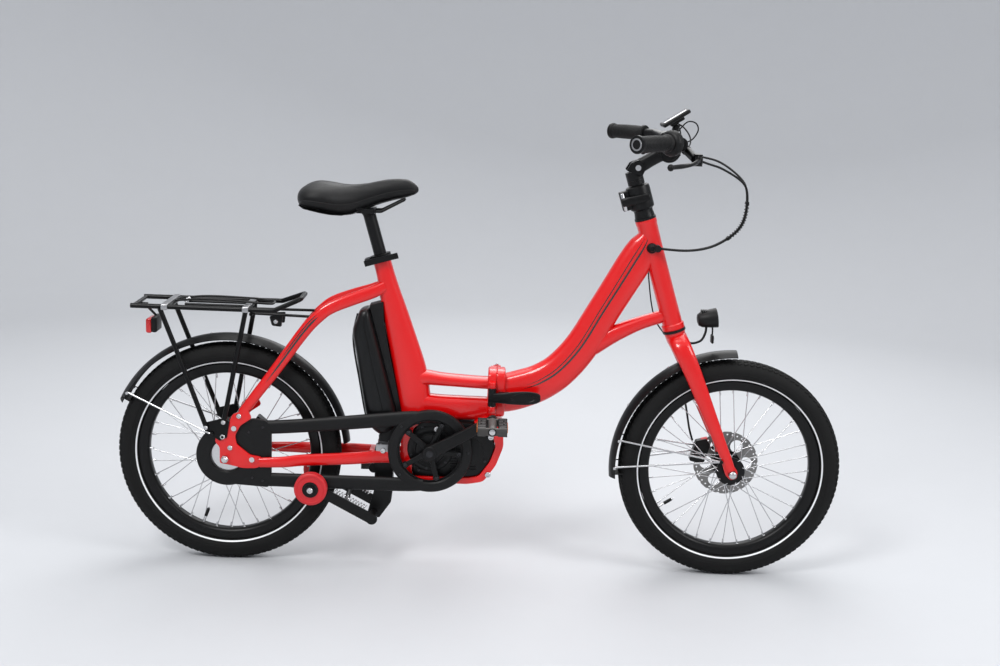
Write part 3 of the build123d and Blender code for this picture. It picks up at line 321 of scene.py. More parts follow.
def stripe_black():
    """The painted stripes, under the same lacquer."""
    return surface("Stripe black", tuple(colours().stripes), 0.25, tone=0.1, dust=0.02, coat=1.0,
                   coat_rough=0.05)


def satin_black():
    """Anodised and powder-coated parts."""
    return surface("Satin black", tuple(colours().black), 0.38, metal=0.1, grain=900, dust=0.02, scuff=0.2,
                   gloss=0.28, worn=(0.03, 0.03, 0.03))


def gloss_black():
    """Lacquered tubes and mudguards."""
    return surface("Gloss black", tuple(colours().black), 0.36, grain=300, depth=0.00001, dust=0.01,
                   scuff=0.06, gloss=0.16, worn=(0.02, 0.02, 0.02), coat=0.08, coat_rough=0.12)


def black_plastic():
    """Moulded covers with a fine grain."""
    return surface("Moulded black", tuple(colours().plastic), 0.46, grain=1500, pebble=0.7, depth=0.00006,
                   dust=0.02, scuff=0.15, gloss=0.28)


def battery_black():
    """The smoother case of the battery."""
    return surface("Battery case", (0.003, 0.0033, 0.0037), 0.34, grain=1100, pebble=0.4, depth=0.00003,
                   dust=0.02, scuff=0.15, gloss=0.28)


def tyre_rubber():
    """Tyre rubber with road dust."""
    return surface("Tyre rubber", tuple(colours().rubber), 0.74, grain=420, pebble=0.5, depth=0.00012,
                   tone=0.25, dust=0.02, scuff=0.35, gloss=0.28, worn=(0.012, 0.011, 0.010))


def grip_rubber():
    """Soft rubber for grips and hoses."""
    return surface("Soft rubber", (0.004, 0.004, 0.0042), 0.58, grain=1300, pebble=1.0, depth=0.0001,
                   dust=0.02, scuff=0.15, gloss=0.28)


def bright_steel():
    """Stainless wire and bolts."""
    return surface("Bright steel", tuple(colours().steel), 0.24, metal=1.0, grain=700, depth=0.00001,
                   tone=0.15, dust=0.03, scuff=0.2, worn=(0.35, 0.34, 0.33))


def dark_steel():
    """Blackened bolts with bright worn edges."""
    return surface("Dark steel", (0.045, 0.045, 0.048), 0.32, metal=1.0, grain=700, tone=0.2, dust=0.02,
                   scuff=0.4, worn=(0.3, 0.3, 0.3))


def brake_steel():
    """The ground surface of a brake disc."""
    return surface("Disc steel", (0.22, 0.215, 0.21), 0.34, metal=1.0, grain=500, depth=0.00002, tone=0.2,
                   dust=0.02, scuff=0.5, worn=(0.3, 0.29, 0.28))


def alloy_grey():
    """Bare brushed alloy."""
    return surface("Brushed alloy", (0.42, 0.42, 0.43), 0.34, metal=1.0, grain=800, tone=0.12, dust=0.05)


def saddle_cover():
    """Pebbled vinyl saddle cover."""
    return surface("Saddle cover", (0.003, 0.003, 0.0033), 0.48, grain=1000, pebble=1.6, depth=0.0002,
                   tone=0.2, dust=0.015, scuff=0.10, gloss=0.28, sheen=0.05)


def reflective_white():
    """The reflecting band of a tyre."""
    return surface("Reflective band", (0.82, 0.83, 0.84), 0.35, grain=1200, tone=0.1, dust=0.06, scuff=0.3,
                   worn=(0.4, 0.4, 0.4))


def roller_red():
    """Red rollers."""
    return surface("Roller red", tuple(colours().roller), 0.42, grain=900, pebble=0.4, dust=0.10, scuff=0.3)


def red_lens():
    """Red lamp lens."""
    return surface("Red lens", (0.75, 0.010, 0.012), 0.14, clear=0.3, coat=0.6, tone=0.15, dust=0.05)


def amber_lens():
    """Amber pedal reflector."""
    return surface("Amber reflector", (0.9, 0.22, 0.01), 0.18, clear=0.2, coat=0.5, tone=0.15)


def clear_lens():
    """Clear lamp lens."""
    return surface("Clear lens", (0.82, 0.84, 0.86), 0.10, metal=0.4, coat=1.0, tone=0.1, dust=0.02,
                   scuff=0.02)


def dark_glass():
    """Display screen."""
    return surface("Dark glass", (0.012, 0.014, 0.018), 0.08, coat=1.0, coat_rough=0.02, dust=0.04,
                   scuff=0.03)


# ---------------------------------------------------------------- mesh building


def curve_through(stations, steps):
    """A smooth run through stations, each a tuple of a point and its sizes."""
    def blend(a, b, c, d, t):
        return 0.5 * (2 * b + (c - a) * t + (2 * a - 5 * b + 4 * c - d) * t * t + (3 * b - a - 3 * c + d)
                      * t ** 3)

    rows = [(*point, *rest) for point, *rest in stations]
    out = []
    for i in range(len(rows) - 1):
        window = [rows[max(0, min(len(rows) - 1, i + k))] for k in (-1, 0, 1, 2)]
        for step in range(steps):
            out.append([blend(*values, step / steps) for values in zip(*window)])
    out.append(list(rows[-1]))
    return [(Vector(row[:3]), *row[3:]) for row in out]


def rounded(points, radius, steps=4):
    """An outline with its corners rounded."""
    out = []
    count = len(points)
    for i, point in enumerate(points):
        here = Vector(point)
        before, after = Vector(points[i - 1]) - here, Vector(points[(i + 1) % count]) - here
        reach = min(radius, before.length * 0.45, after.length * 0.45)
        start, end = here + before.normalized() * reach, here + after.normalized() * reach
        for step in range(steps + 1):
            t = step / steps
            out.append(tuple(start * (1 - t) ** 2 + here * (2 * t * (1 - t)) + end * t * t))
    return out


class Shape:
    """A mesh built from skins, plates and turned forms, each with its own finish."""

    def __init__(self):
        self.bm = bmesh.new()
        self.finishes = []

    def finish(self, material):
        """The index of a finish in this shape."""
        if material not in self.finishes:
            self.finishes.append(material)
        return self.finishes.index(material)

    def skin(self, rings, material, loop=False):
        """Faces between rings of points, closed at both ends by a pole."""
        index = self.finish(material)
        rows = [[self.bm.verts.new(p) for p in ring] for ring in rings]
        pairs = list(zip(rows, rows[1:]))
        if loop:
            pairs.append((rows[-1], rows[0]))
        faces = []
        for a, b in pairs:
            for i in range(len(a)):
                j = (i + 1) % len(a)
                faces.append(self.bm.faces.new((a[i], a[j], b[j], b[i])))
        if not loop:
            for row in (rows[0], rows[-1]):
                pole = self.bm.verts.new(sum((v.co for v in row), Vector()) / len(row))
                for i in range(len(row)):
                    faces.append(self.bm.faces.new((row[i], row[(i + 1) % len(row)], pole)))
        for face in faces:
            face.material_index = index

    def tube(self, stations, material, across=ACROSS, count=20, steps=6, power=2.0, bore=None):
        """A tube through stations (point, half height, half width); returns its sampled run.

        A bore is a radius in mm and the point where it ends, and it begins at the tube's start.
        """
        stations = [(s[0], s[1] * MM, (s[2] if len(s) > 2 else s[1]) * MM) for s in stations]
        run = curve_through(stations, steps)
        rings = []
        for i, (point, high, wide) in enumerate(run):
            ahead = (run[min(i + 1, len(run) - 1)][0] - run[max(i - 1, 0)][0]).normalized()
            level = (across - ahead * across.dot(ahead)).normalized()
            up = ahead.cross(level)
            ring = []
            for n in range(count):
                turn = math.tau * n / count
                c, s = math.cos(turn), math.sin(turn)
                ring.append(point + level * (math.copysign(abs(c) ** (2 / power), c) * wide)
                            + up * (math.copysign(abs(s) ** (2 / power), s) * high))
            rings.append(ring)
        if bore:
            centre, bottom = run[0][0], bore[1]
            lip = [centre + (p - centre).normalized() * (bore[0] * MM) for p in rings[0]]
            rings = [[p + bottom - centre for p in lip], lip] + rings
        self.skin(rings, material)
        return run

    def wire(self, points, radius, material, count=10, steps=8):
        """A round wire through points, its section carried along without twist."""
        run = [p for p, _ in curve_through([(p, radius) for p in points], steps)]
        ahead = (run[1] - run[0]).normalized()
        side = ahead.orthogonal().normalized()
        rings = []
        for i, point in enumerate(run):
            ahead = (run[min(i + 1, len(run) - 1)] - run[max(i - 1, 0)]).normalized()
            side = (side - ahead * side.dot(ahead)).normalized()
            other = ahead.cross(side)
            rings.append([point + (side * math.cos(math.tau * n / count) + other
                                   * math.sin(math.tau * n / count))
                          * radius * MM for n in range(count)])
        self.skin(rings, material)

    def turned(self, centre, axis, profile, material, count=48, loop=False, arc=None):
        """A form turned about an axis from a profile of (along, radius) in mm; an arc is (start, sweep)."""
        axis = Vector(axis).normalized()
        side = Vector((1, 0, 0)) if abs(axis.x) < 0.9 else Vector((0, 0, 1))
        side = (side - axis * side.dot(axis)).normalized()
        other = -axis.cross(side) if axis.y > 0 else axis.cross(side)
        if arc:
            start, sweep = (math.radians(a) for a in arc)
            rings = []
            for n in range(count + 1):
                turn = start + sweep * n / count
                radial = side * math.cos(turn) + other * math.sin(turn)
                rings.append([centre + axis * (a * MM) + radial * (r * MM) for a, r in profile])
            self.skin(rings, material)
            return
        rings = []
        for a, r in profile:
            rings.append([centre + axis * (a * MM) + (side * math.cos(math.tau * n / count)
                                                      + other * math.sin(math.tau * n / count)) * (r * MM)
                          for n in range(count)])
        self.skin(rings, material, loop=loop)

    def plate(self, outline, low, high, material, bevel=1.0, corner=0.0):
        """A plate with an outline in the side plane, between two distances out."""
        if corner:
            outline = rounded(outline, corner)
        index = self.finish(material)
        near = [self.bm.verts.new(spot(x, z, low)) for x, z in outline]
        far = [self.bm.verts.new(spot(x, z, high)) for x, z in outline]
        faces = [self.bm.faces.new(near), self.bm.faces.new(list(reversed(far)))]
        count = len(outline)
        for i in range(count):
            j = (i + 1) % count
            faces.append(self.bm.faces.new((near[j], near[i], far[i], far[j])))
        for face in faces:
            face.material_index = index
        bmesh.ops.recalc_face_normals(self.bm, faces=faces)
        rims = {e for f in faces[:2] for e in f.edges}
        if bevel:
            made = bmesh.ops.bevel(self.bm, geom=list(rims), offset=bevel * MM, segments=2, profile=0.6,
                                   affect="EDGES", clamp_overlap=True)
            for face in made["faces"]:
                face.material_index = index

    def block(self, centre, ahead, up, size, material, bevel=1.0):
        """A box with softened edges, its length along ahead, its height along up; size in mm."""
        index = self.finish(material)
        ahead, up = Vector(ahead).normalized(), Vector(up)
        up = (up - ahead * up.dot(ahead)).normalized()
        side = up.cross(ahead)
        turn = Matrix((ahead, side, up)).transposed().to_4x4()
        scale = Matrix.Diagonal((size[0] * MM, size[1] * MM, size[2] * MM, 1))
        made = bmesh.ops.create_cube(self.bm, size=1.0, matrix=Matrix.Translation(centre) @ turn @ scale)
        faces = {f for v in made["verts"] for f in v.link_faces}
        for face in faces:
            face.material_index = index
        edges = {e for f in faces for e in f.edges}
        softened = bmesh.ops.bevel(self.bm, geom=list(edges), offset=bevel * MM, segments=3, profile=0.5,
                                   affect="EDGES", clamp_overlap=True)
        for face in softened["faces"]:
            face.material_index = index

    def stripe(self, run, first, last, heights, width, flank, material, power):
        """A painted stripe laid on the side of a tube's run, from one share of its height to another."""
        index = self.finish(material)
        rows = []
        chosen = run[first:last]
        for i, (point, high, wide) in enumerate(chosen):
            ahead = (chosen[min(i + 1, len(chosen) - 1)][0] - chosen[max(i - 1, 0)][0]).normalized()
            up = ACROSS.cross(ahead)
            up = -up if up.z < 0 else up
            share = i / (len(chosen) - 1)
            level = heights[0] * (1 - share) + heights[1] * share
            taper = min(1.0, 6 * share, 6 * (1 - share)) + 0.05
            row = []
            for step in (-1, -0.33, 0.33, 1):
                at = level + step * width * taper / 2 / high
                out = (1 - min(1.0, abs(at)) ** power) ** (1 / power) * wide + 0.35 * MM
                row.append(self.bm.verts.new(point + up * (at * high) - ACROSS * (flank * out)))
            rows.append(row)
        for a, b in zip(rows, rows[1:]):
            for i in range(3):
                corners = (a[i], a[i + 1], b[i + 1], b[i])
                face = self.bm.faces.new(corners if flank > 0 else tuple(reversed(corners)))
                face.material_index = index

    def make(self, name, body, stands_for=(), slot=None):
        """Turns the shape into a finished piece that rides on a body."""
        bmesh.ops.remove_doubles(self.bm, verts=self.bm.verts, dist=WELD)
        bmesh.ops.recalc_face_normals(self.bm, faces=self.bm.faces)
        mesh = bpy.data.meshes.new(name)
        self.bm.to_mesh(mesh)
        self.bm.free()
        for material in self.finishes:
            mesh.materials.append(material)
        mesh.shade_smooth()
        mesh.set_sharp_from_angle(angle=SHARP)
        piece = placed(name, mesh)
        return settle(piece, body, stands_for)


def placed(name, data):
    """A new object in the scene."""
    piece = bpy.data.objects.new(name, data)
    bpy.context.scene.collection.objects.link(piece)
    return piece


def settle(piece, body, stands_for=()):
    """Puts a finished piece on its body."""
    if body:
        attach(piece, body)
    if stands_for:
        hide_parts(*stands_for)
    return piece


def dress(material, *nodes):
    """Gives CAD nodes that stay their finish."""
    for node in nodes:
        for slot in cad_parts[node].material_slots:
            slot.material = material


# ---------------------------------------------------------------- repeated pieces


def scatter_tree():
    """A tree that puts one small piece at every point, turned to its facing, and makes the result real."""
    tree = bpy.data.node_groups.get("Pieces at points")
    if tree:
        return tree
    tree = bpy.data.node_groups.new("Pieces at points", "GeometryNodeTree")
    for label, way, kind in (("Geometry", "INPUT", "Geometry"), ("Piece", "INPUT", "Object"),
                             ("Size", "INPUT", "Float"),
                             ("Finish", "INPUT", "Material"), ("Geometry", "OUTPUT", "Geometry")):
        tree.interface.new_socket(name=label, in_out=way, socket_type="NodeSocket" + kind)
    nodes, links = tree.nodes, tree.links
    given, gives = nodes.new("NodeGroupInput"), nodes.new("NodeGroupOutput")
    info = nodes.new("GeometryNodeObjectInfo")
    put = nodes.new("GeometryNodeInstanceOnPoints")
    real = nodes.new("GeometryNodeRealizeInstances")
    paint = nodes.new("GeometryNodeSetMaterial")

    def facing(label):
        node = nodes.new("GeometryNodeInputNamedAttribute")
        node.data_type = "FLOAT_VECTOR"
        node.inputs["Name"].default_value = label
        return node.outputs[0]

    turn = nodes.new("FunctionNodeAlignEulerToVector")
    turn.axis = "Z"
    links.new(facing("facing"), turn.inputs["Vector"])
    roll = nodes.new("FunctionNodeAlignEulerToVector")
    roll.axis = "X"
    roll.pivot_axis = "Z"
    links.new(turn.outputs[0], roll.inputs["Rotation"])
    links.new(facing("ahead"), roll.inputs["Vector"])
    links.new(given.outputs["Piece"], info.inputs["Object"])
    links.new(given.outputs["Geometry"], put.inputs["Points"])
    links.new(info.outputs["Geometry"], put.inputs["Instance"])
    links.new(roll.outputs[0], put.inputs["Rotation"])
    links.new(given.outputs["Size"], put.inputs["Scale"])
    links.new(put.outputs["Instances"], real.inputs["Geometry"])
    links.new(real.outputs["Geometry"], paint.inputs["Geometry"])
    links.new(given.outputs["Finish"], paint.inputs["Material"])
    links.new(paint.outputs["Geometry"], gives.inputs["Geometry"])
    return tree


def scatter(name, master, places, material, body, size=1.0):
    """Repeats a small master piece at places, each (point, facing) or (point, facing, ahead)."""
    points = bpy.data.meshes.new(name + "_points")
    points.from_pydata([tuple(p[0]) for p in places], [], [])
    for label, pick in (("facing", 1), ("ahead", 2)):
        layer = points.attributes.new(label, "FLOAT_VECTOR", "POINT")
        for i, place in enumerate(places):
            value = place[pick] if len(place) > pick else Vector(place[1]).orthogonal()
            layer.data[i].vector = Vector(value).normalized()
    holder = placed(name + "_points", points)
    modifier = holder.modifiers.new("Pieces", "NODES")
    modifier.node_group = scatter_tree()
    values = {"Piece": master, "Size": size, "Finish": material}
    for item in modifier.node_group.interface.items_tree:
        if item.in_out == "INPUT" and item.name in values:
            modifier[item.identifier] = values[item.name]
    holder.update_tag()
    bpy.context.view_layer.update()
    mesh = bpy.data.meshes.new_from_object(holder.evaluated_get(bpy.context.evaluated_depsgraph_get()))
    bpy.data.objects.remove(holder)
    mesh.name = name
    mesh.materials.clear()
    mesh.materials.append(material)
    mesh.shade_smooth()
    mesh.set_sharp_from_angle(angle=SHARP)
    piece = placed(name, mesh)
    return settle(piece, body, ())


def master_piece(name, build):
    """A small master shape made once by build, kept out of the scene's finished pieces."""
    shape = Shape()
    build(shape)
    mesh = bpy.data.meshes.new(name)
    bmesh.ops.recalc_face_normals(shape.bm, faces=shape.bm.faces)
    shape.bm.to_mesh(mesh)
    shape.bm.free()
    master = placed(name, mesh)
    return master


def bolt_head(shape):
    """A socket-head bolt: a crowned head with a round recess."""
    shape.turned(Vector(), UP,
                 [(-1, BOLT_RADIUS), (2.6, BOLT_RADIUS), (3.2, 3.9), (3.3, 2.6), (1.2, 2.4),
                  (1.2, 0.6)], None, count=18)


def bolts(name, places, body, size=1.0, material=None):
    """Socket bolts at places given as (point, facing)."""
    master = master_piece(name + "_master", bolt_head)
    scale = size * sizes().bolt_radius / (BOLT_RADIUS * MM)
    piece = scatter(name, master, places, material or bright_steel(), body, scale)
    bpy.data.objects.remove(master)
    return piece


def right(flank):
    """The direction out of the bicycle on a side."""
    return Vector((0, -flank, 0))


# ---------------------------------------------------------------- wheels

WHEELS = (("rear", REAR), ("front", FRONT))


def around(centre, radius, turn):
    """A point on a circle in the side plane, turned up from forward."""
    return centre + Vector((math.cos(turn), 0, math.sin(turn))) * (radius * MM)


class BICYCLE_OT_tyres(bpy.types.Operator):
    """Tyre casings with tread blocks and a reflecting band on each wall"""

    bl_idname = "bicycle.tyres"
    bl_label = "Tyres"

    def execute(self, context):
        top = sizes().tyre_radius / MM - 0.8
        wide = sizes().tyre_half_width / MM
        half = [(0, top), (6, top - 0.3), (13, top - 2.0), (19, top - 6.5), (23.4, top - 12.5),
                (26, top - 19),
                (wide, top - 26), (26.4, top - 32), (24.2, top - 38.5), (21.2, top - 43), (17.6, top - 45.6),
                (15.6, top - 46.4)]
        inside = [(12.5, top - 45), (17, top - 38), (21, top - 26), (17, top - 12), (0, top - 5)]
        profile = half + inside
        profile += [(-a, r) for a, r in reversed(inside[:-1])] + [(-a, r) for a, r in reversed(half[1:])]
        for end, centre in WHEELS:
            shape = Shape()
            shape.turned(centre, ACROSS, profile, tyre_rubber(), count=144, loop=True)
            for flank in SIDES:
                band = [(flank * 20.9, top - 43.6), (flank * 22.9, top - 41.0), (flank * 23.3, top - 40.9),
                        (flank * 21.1, top - 44.0)]
                shape.turned(centre, ACROSS, band, reflective_white(), count=144, loop=True)
                rib = [(flank * 26.9, top - 29.5), (flank * 27.4, top - 29), (flank * 26.9, top - 28.2)]
                shape.turned(centre, ACROSS, rib, tyre_rubber(), count=144, loop=True)
            shape.make(end + "_tyre_casing", end + "_wheel", [end + "_tyre"], "tyre_rubber")
            self.tread(end, centre, top)
        return {"FINISHED"}

    def tread(self, end, centre, top):
        """Rows of tread blocks on the crown and the shoulders."""
        def block(shape):
            shape.block(Vector((0, 0, -0.0002)), (1, 0, 0), UP, (10.5, 5.6, 2.4), tyre_rubber(), 0.5)

        master = master_piece("tread_master", block)
        count = sizes().tread_blocks
        places = []
        for row, (out, drop, tilt,
                  skew) in enumerate(((0, 0.2, 0, 0), (9, 0.9, 9, 0.35), (-9, 0.9, -9, -0.35),
                                      (17.2, 4.6, 30, 0.6), (-17.2, 4.6, -30, -0.6))):
            for n in range(count):
                turn = math.tau * (n + 0.5 * (row % 2)) / count
                radial = Vector((math.cos(turn), 0, math.sin(turn)))
                lean = math.radians(tilt)
                facing = radial * math.cos(lean) + ACROSS * math.sin(lean)
                ahead = Vector((-math.sin(turn), 0, math.cos(turn))) + ACROSS * skew
                places.append((centre + radial * ((top - drop) * MM) + ACROSS * (out * MM), facing, ahead))
        scatter(end + "_tread", master, places, tyre_rubber(), end + "_wheel")
        bpy.data.objects.remove(master)


class BICYCLE_OT_rims(bpy.types.Operator):
    """Black rims with spoke nipples and a valve"""

    bl_idname = "bicycle.rims"
    bl_label = "Rims and spokes"

    def execute(self, context):
        profile = [(-8, 187), (-13.2, 190.2), (-15.2, 195), (-16, 209), (-14.4, 210.2), (-12, 209.4),
                   (-9.4, 203),
                   (9.4, 203), (12, 209.4), (14.4, 210.2), (16, 209), (15.2, 195), (13.2, 190.2), (8, 187)]
        count = sizes().spokes

        def nipple(shape):
            shape.turned(Vector(), UP, [(-2, 3.2), (0.6, 3.1), (1.0, 2.1), (9, 1.9), (11, 1.2)],
                         None, count=10)

        for end, centre in WHEELS:
            shape = Shape()
            shape.turned(centre, ACROSS, profile, satin_black(), count=144, loop=True)
            turn = math.atan2(-89.5, -140.5) if end == "front" else math.radians(250)
            inward = around(Vector(), -1000, turn)
            shape.turned(around(centre, 188, turn), inward,
                         [(0, 4), (2, 3), (3, 3), (30, 3), (31, 2.4), (40, 2.2)], bright_steel(), count=14)
            shape.turned(around(centre, 172, turn), inward, [(0, 4), (18, 3.8), (21, 2.6)], black_plastic(),
                         count=14)
            shape.make(end + "_rim_ring", end + "_wheel", [end + "_rim"], "black_metal")
            master = master_piece("nipple_master", nipple)
            places = []
            for n in range(count):
                at = math.tau * n / count
                hole = around(centre, 187.4, at) + ACROSS * ((4 if n % 2 else -4) * MM)
                places.append((hole, around(Vector(), -1000, at)))
            scatter(end + "_nipples", master, places, bright_steel(), end + "_wheel")
            bpy.data.objects.remove(master)
        dress(bright_steel(), "front_spokes", "rear_spokes")
        return {"FINISHED"}


class BICYCLE_OT_hubs(bpy.types.Operator):
    """Hubs, brake discs, calipers and the hardware at the axles"""

    bl_idname = "bicycle.hubs"
    bl_label = "Hubs and discs"

    def execute(self, context):
        dress(satin_black(), "front_hub", "rear_hub")
        dress(brake_steel(), "front_rotor", "rear_rotor")
        dress(satin_black(), "rear_caliper", "fork_hardware")
        dress(bright_steel(), "frame_hardware", "rear_sprocket", "chain")
        for end, centre, out in (("rear", REAR, 47.6), ("front", FRONT, 41.6)):
            places = []
            for n in range(6):
                at = around(centre, 22, math.tau * n / 6 + 0.3)
                places.append((at + ACROSS * (out * MM), ACROSS))
            bolts(end + "_disc_bolts", places, end + "_wheel", 0.8)
        shape = Shape()
        for flank in (1, -1):
            shape.turned(REAR + right(flank) * 0.0781, right(flank),
                         [(-4, 8), (0, 8), (1, 7), (5, 6.8), (7, 5)], bright_steel(), 24)
        shape.make("rear_axle_caps", "rear_frame", (), "steel")
        shape = Shape()
        shape.turned(spot(1100, 286, -52), ACROSS, [(-4, 12), (0, 12), (2.4, 10), (3, 4)], roller_red(), 28)
        shape.plate([(1102, 300), (1117, 304), (1114, 318), (1100, 314)], -50.8, -38, roller_red(), 1.5)
        shape.make("front_caliper_cap", "fork", (), "red_plastic")
        return {"FINISHED"}


# ---------------------------------------------------------------- frame

TUBE_POWER = 2.7


class BICYCLE_OT_front_frame(bpy.types.Operator):
    """The swept main tube with its gusset, head tube, hinge plate and stripes"""

    bl_idname = "bicycle.front_frame"
    bl_label = "Front frame"

    def execute(self, context):
        paint = red_enamel()
        shape = Shape()
        run = shape.tube([
            (spot(614, 418), 45, 25), (spot(640, 421), 45, 25), (spot(674, 431), 44.5, 25),
            (spot(715, 448), 42.5, 25),
            (spot(758, 479), 40.5, 25), (spot(804, 535), 39, 25), (spot(849, 616), 37.5, 24.5),
            (spot(882, 674), 38, 24), (spot(915, 733), 38.5, 23.5), (spot(936, 772), 34, 22.5),
            (spot(944, 796), 22, 20),
        ], paint, count=36, steps=8, power=TUBE_POWER)
        shape.tube([
            (spot(796, 507), 14, 14), (spot(816, 524), 19, 18), (spot(836, 541), 22, 19.5),
            (spot(864, 559), 20.5, 19), (spot(892, 574), 18.5, 17.5), (spot(936, 594), 15.5, 16),
            (spot(990, 613), 14.5, 15),
        ], paint, count=24, steps=6, power=2.3)
        up = by_head(0, 0, 1) - by_head(0, 0, 0)
        shape.turned(by_head(0, 0, 0), up, [
            (0, 18), (0, 25.2), (1, 26), (11, 26), (13.5, 23.2), (60, 22.6), (200, 22.6),
            (HEAD_LENGTH - 12, 23.4),
            (HEAD_LENGTH - 9, 24.5), (HEAD_LENGTH - 1, 24.5), (HEAD_LENGTH, 23.6), (HEAD_LENGTH, 18),
        ], paint, count=48)
        shape.tube([(spot(x, 421, -1), high, wide) for x, high, wide in (
            (612.9, 53, 35), (613.4, 54.6, 36.6), (616, 55, 37), (628, 55, 37), (631, 54, 36),
            (633, 51, 33))], paint,
                   count=40, steps=2, power=4.6)
        shape.turned(spot(612.7, 396, -48), UP,
                     [(0, 4.2), (0, 8.4), (0.8, 9), (49.2, 9), (50, 8.4), (50, 4.2)], paint, 28)
        shape.plate([(612, 396.5), (626, 396.5), (626, 445.5), (612, 445.5)], -47.5, -37, paint, 1)
        wide = sizes().stripe
        for flank in SIDES:
            shape.stripe(run, 18, 78, (0.24, 0.34), wide * 0.45, flank, stripe_black(), TUBE_POWER)
            shape.stripe(run, 16, 80, (0.08, 0.06), wide * 0.9, flank, stripe_black(), TUBE_POWER)
        shape.make("front_frame_tubes", "front_frame", ["front_frame"], "red_paint")
        dress(black_plastic(), "frame_fittings")
        port = Shape()
        port.turned(by_head(-4, 26, 196), right(1), [(-4, 12), (0, 11.5), (3, 9), (5, 6.5), (9, 5)],
                    black_plastic(), 24)
        port.make("hose_port", "front_frame", (), "black_plastic")
        clip = Shape()
        clip.wire([spot(951, 709, -27), spot(961, 641, -22), spot(974, 597, -24), spot(996, 566, -29)],
                  sizes().cable_radius / MM, grip_rubber())
        clip.make("lamp_wire", "front_frame", (), "grip_rubber")
        return {"FINISHED"}


class BICYCLE_OT_fold_lever(bpy.types.Operator):
    """The leaf-shaped lever that clamps the hinge"""

    bl_idname = "bicycle.fold_lever"
    bl_label = "Hinge lever"

    def execute(self, context):
        black = satin_black()
        shape = Shape()
        shape.turned(spot(603, 398.4, 50), UP,
                     [(0, 3.2), (0, 8.2), (1, 9), (40.4, 9), (41.4, 8.2), (41.4, 3.2)], black, 32)
        leaf = [(597, 419, 55, 11), (622, 419, 56, 11.5), (650, 420, 56.6, 14.5), (682, 421, 56.6, 15.5),
                (704, 422, 56.2, 12.5), (713, 422.6, 55.6, 7)]
        shape.tube([(spot(x, z, out), half, 4) for x, z, out, half in leaf], black, count=28,
                   steps=6, power=3.2)
        oval = [(646, 421), (652, 427), (668, 431.5), (688, 431), (702, 424), (702, 419), (688, 412.5),
                (668, 411), (652, 415), (646, 421)]
        shape.wire([spot(x, z, 60.4) for x, z in oval], 1.2, gloss_black(), 8, 4)
        shape.plate([(617, 409), (642, 409), (642, 430), (617, 430)], 36.6, 54, black, 1.5, 3)
        shape.make("hinge_lever_leaf", "fold_lever", ["fold_lever"], "black_metal")
        return {"FINISHED"}


class BICYCLE_OT_rear_frame(bpy.types.Operator):
    """The seat tube and spine, the two beams, the motor cradle and the hinge plate"""

    bl_idname = "bicycle.rear_frame"
    bl_label = "Rear frame"

    def execute(self, context):
        paint = red_enamel()
        shape = Shape()
        shape.tube([
            (by_seat(0, 0, 0), 20, 20), (spot(352.6, 683), 20.8, 20.4), (spot(361.5, 648), 24, 21.4),
            (spot(376.5, 596), 28.5, 22.5), (spot(395, 530), 33.5, 23.5), (spot(412.5, 465), 38, 24.5),
            (spot(423, 410), 38, 26), (spot(430, 362), 36, 30), (spot(434, 340), 30, 30),
        ], paint, count=36, steps=7, power=2.4, bore=(14.9, by_seat(0, 0, -350)))
        shape.tube([
            (spot(428, 446), 22, 22), (spot(452, 449), 17, 23), (spot(490, 446), 14.2, 23.4),
            (spot(560, 442.5), 13.4, 23.6), (spot(598, 441.5), 13.6, 23.8),
        ], paint, count=28, steps=6, power=2.8)
        shape.tube([
            (spot(428, 384), 32, 27), (spot(470, 381), 28.5, 24), (spot(540, 380), 27.5, 24),
            (spot(590, 382), 25, 24), (spot(604, 384), 22, 24),
        ], paint, count=28, steps=6, power=3.0)
        shape.plate([
            (590, 370), (612, 364), (631, 351), (634, 300), (618, 254), (590, 214), (553, 207), (418, 207),
            (417, 221), (549, 221.2), (579, 226.4), (603.6, 262), (616.4, 300), (597, 351.9), (560, 353),
        ], -37, 37, paint, 3.2, 9)
        shape.plate([(397, 364), (440, 353), (424, 330), (424, 207.4), (410, 207.4), (397, 222)], -32.5,
                    32.5, paint, 3, 3)
        shape.tube([(spot(x, 421, -1), high, wide) for x, high, wide in (
            (592.6, 51, 33), (594.6, 54, 36), (597.4, 55, 37), (609.4, 55, 37), (612, 54.6, 36.6),
            (612.5, 53, 35))], paint,
                   count=40, steps=2, power=4.6)
        for low, high in ((370, 395), (447, 472)):
            shape.turned(spot(612.7, low, -48), UP, [
                (0, 4.1), (0, 8.4), (0.8, 9), (high - low - 0.8, 9), (high - low, 8.4), (high - low, 4.1)],
                         paint, 28)
            shape.plate([(599, low + 0.5), (612, low + 0.5), (612, high - 0.5), (599, high - 0.5)], -47.5,
                        -37, paint, 1)
        for low, high in ((384, 397.6), (440.4, 454)):
            shape.turned(spot(603, low, 50), UP, [(0, 3.2), (0, 7.4), (0.8, 8), (high - low - 0.8, 8),
                                                  (high - low, 7.4), (high - low, 3.2)], paint, 24)
            shape.plate([(595.5, low + 0.3), (610.5, low + 0.3), (610.5, high - 0.3), (595.5, high - 0.3)],
                        35, 49, paint, 1)
        shape.make("rear_frame_tubes", "rear_frame", ["rear_frame"], "red_paint")
        bolts("cradle_bolts", [(spot(480, 337, f * 37.5), right(f)) for f in SIDES]
              + [(spot(604, 322, f * 37.5), right(f)) for f in SIDES]
              + [(spot(600, 232, f * 37.4), right(f)) for f in SIDES], "rear_frame", 1.5)
        return {"FINISHED"}


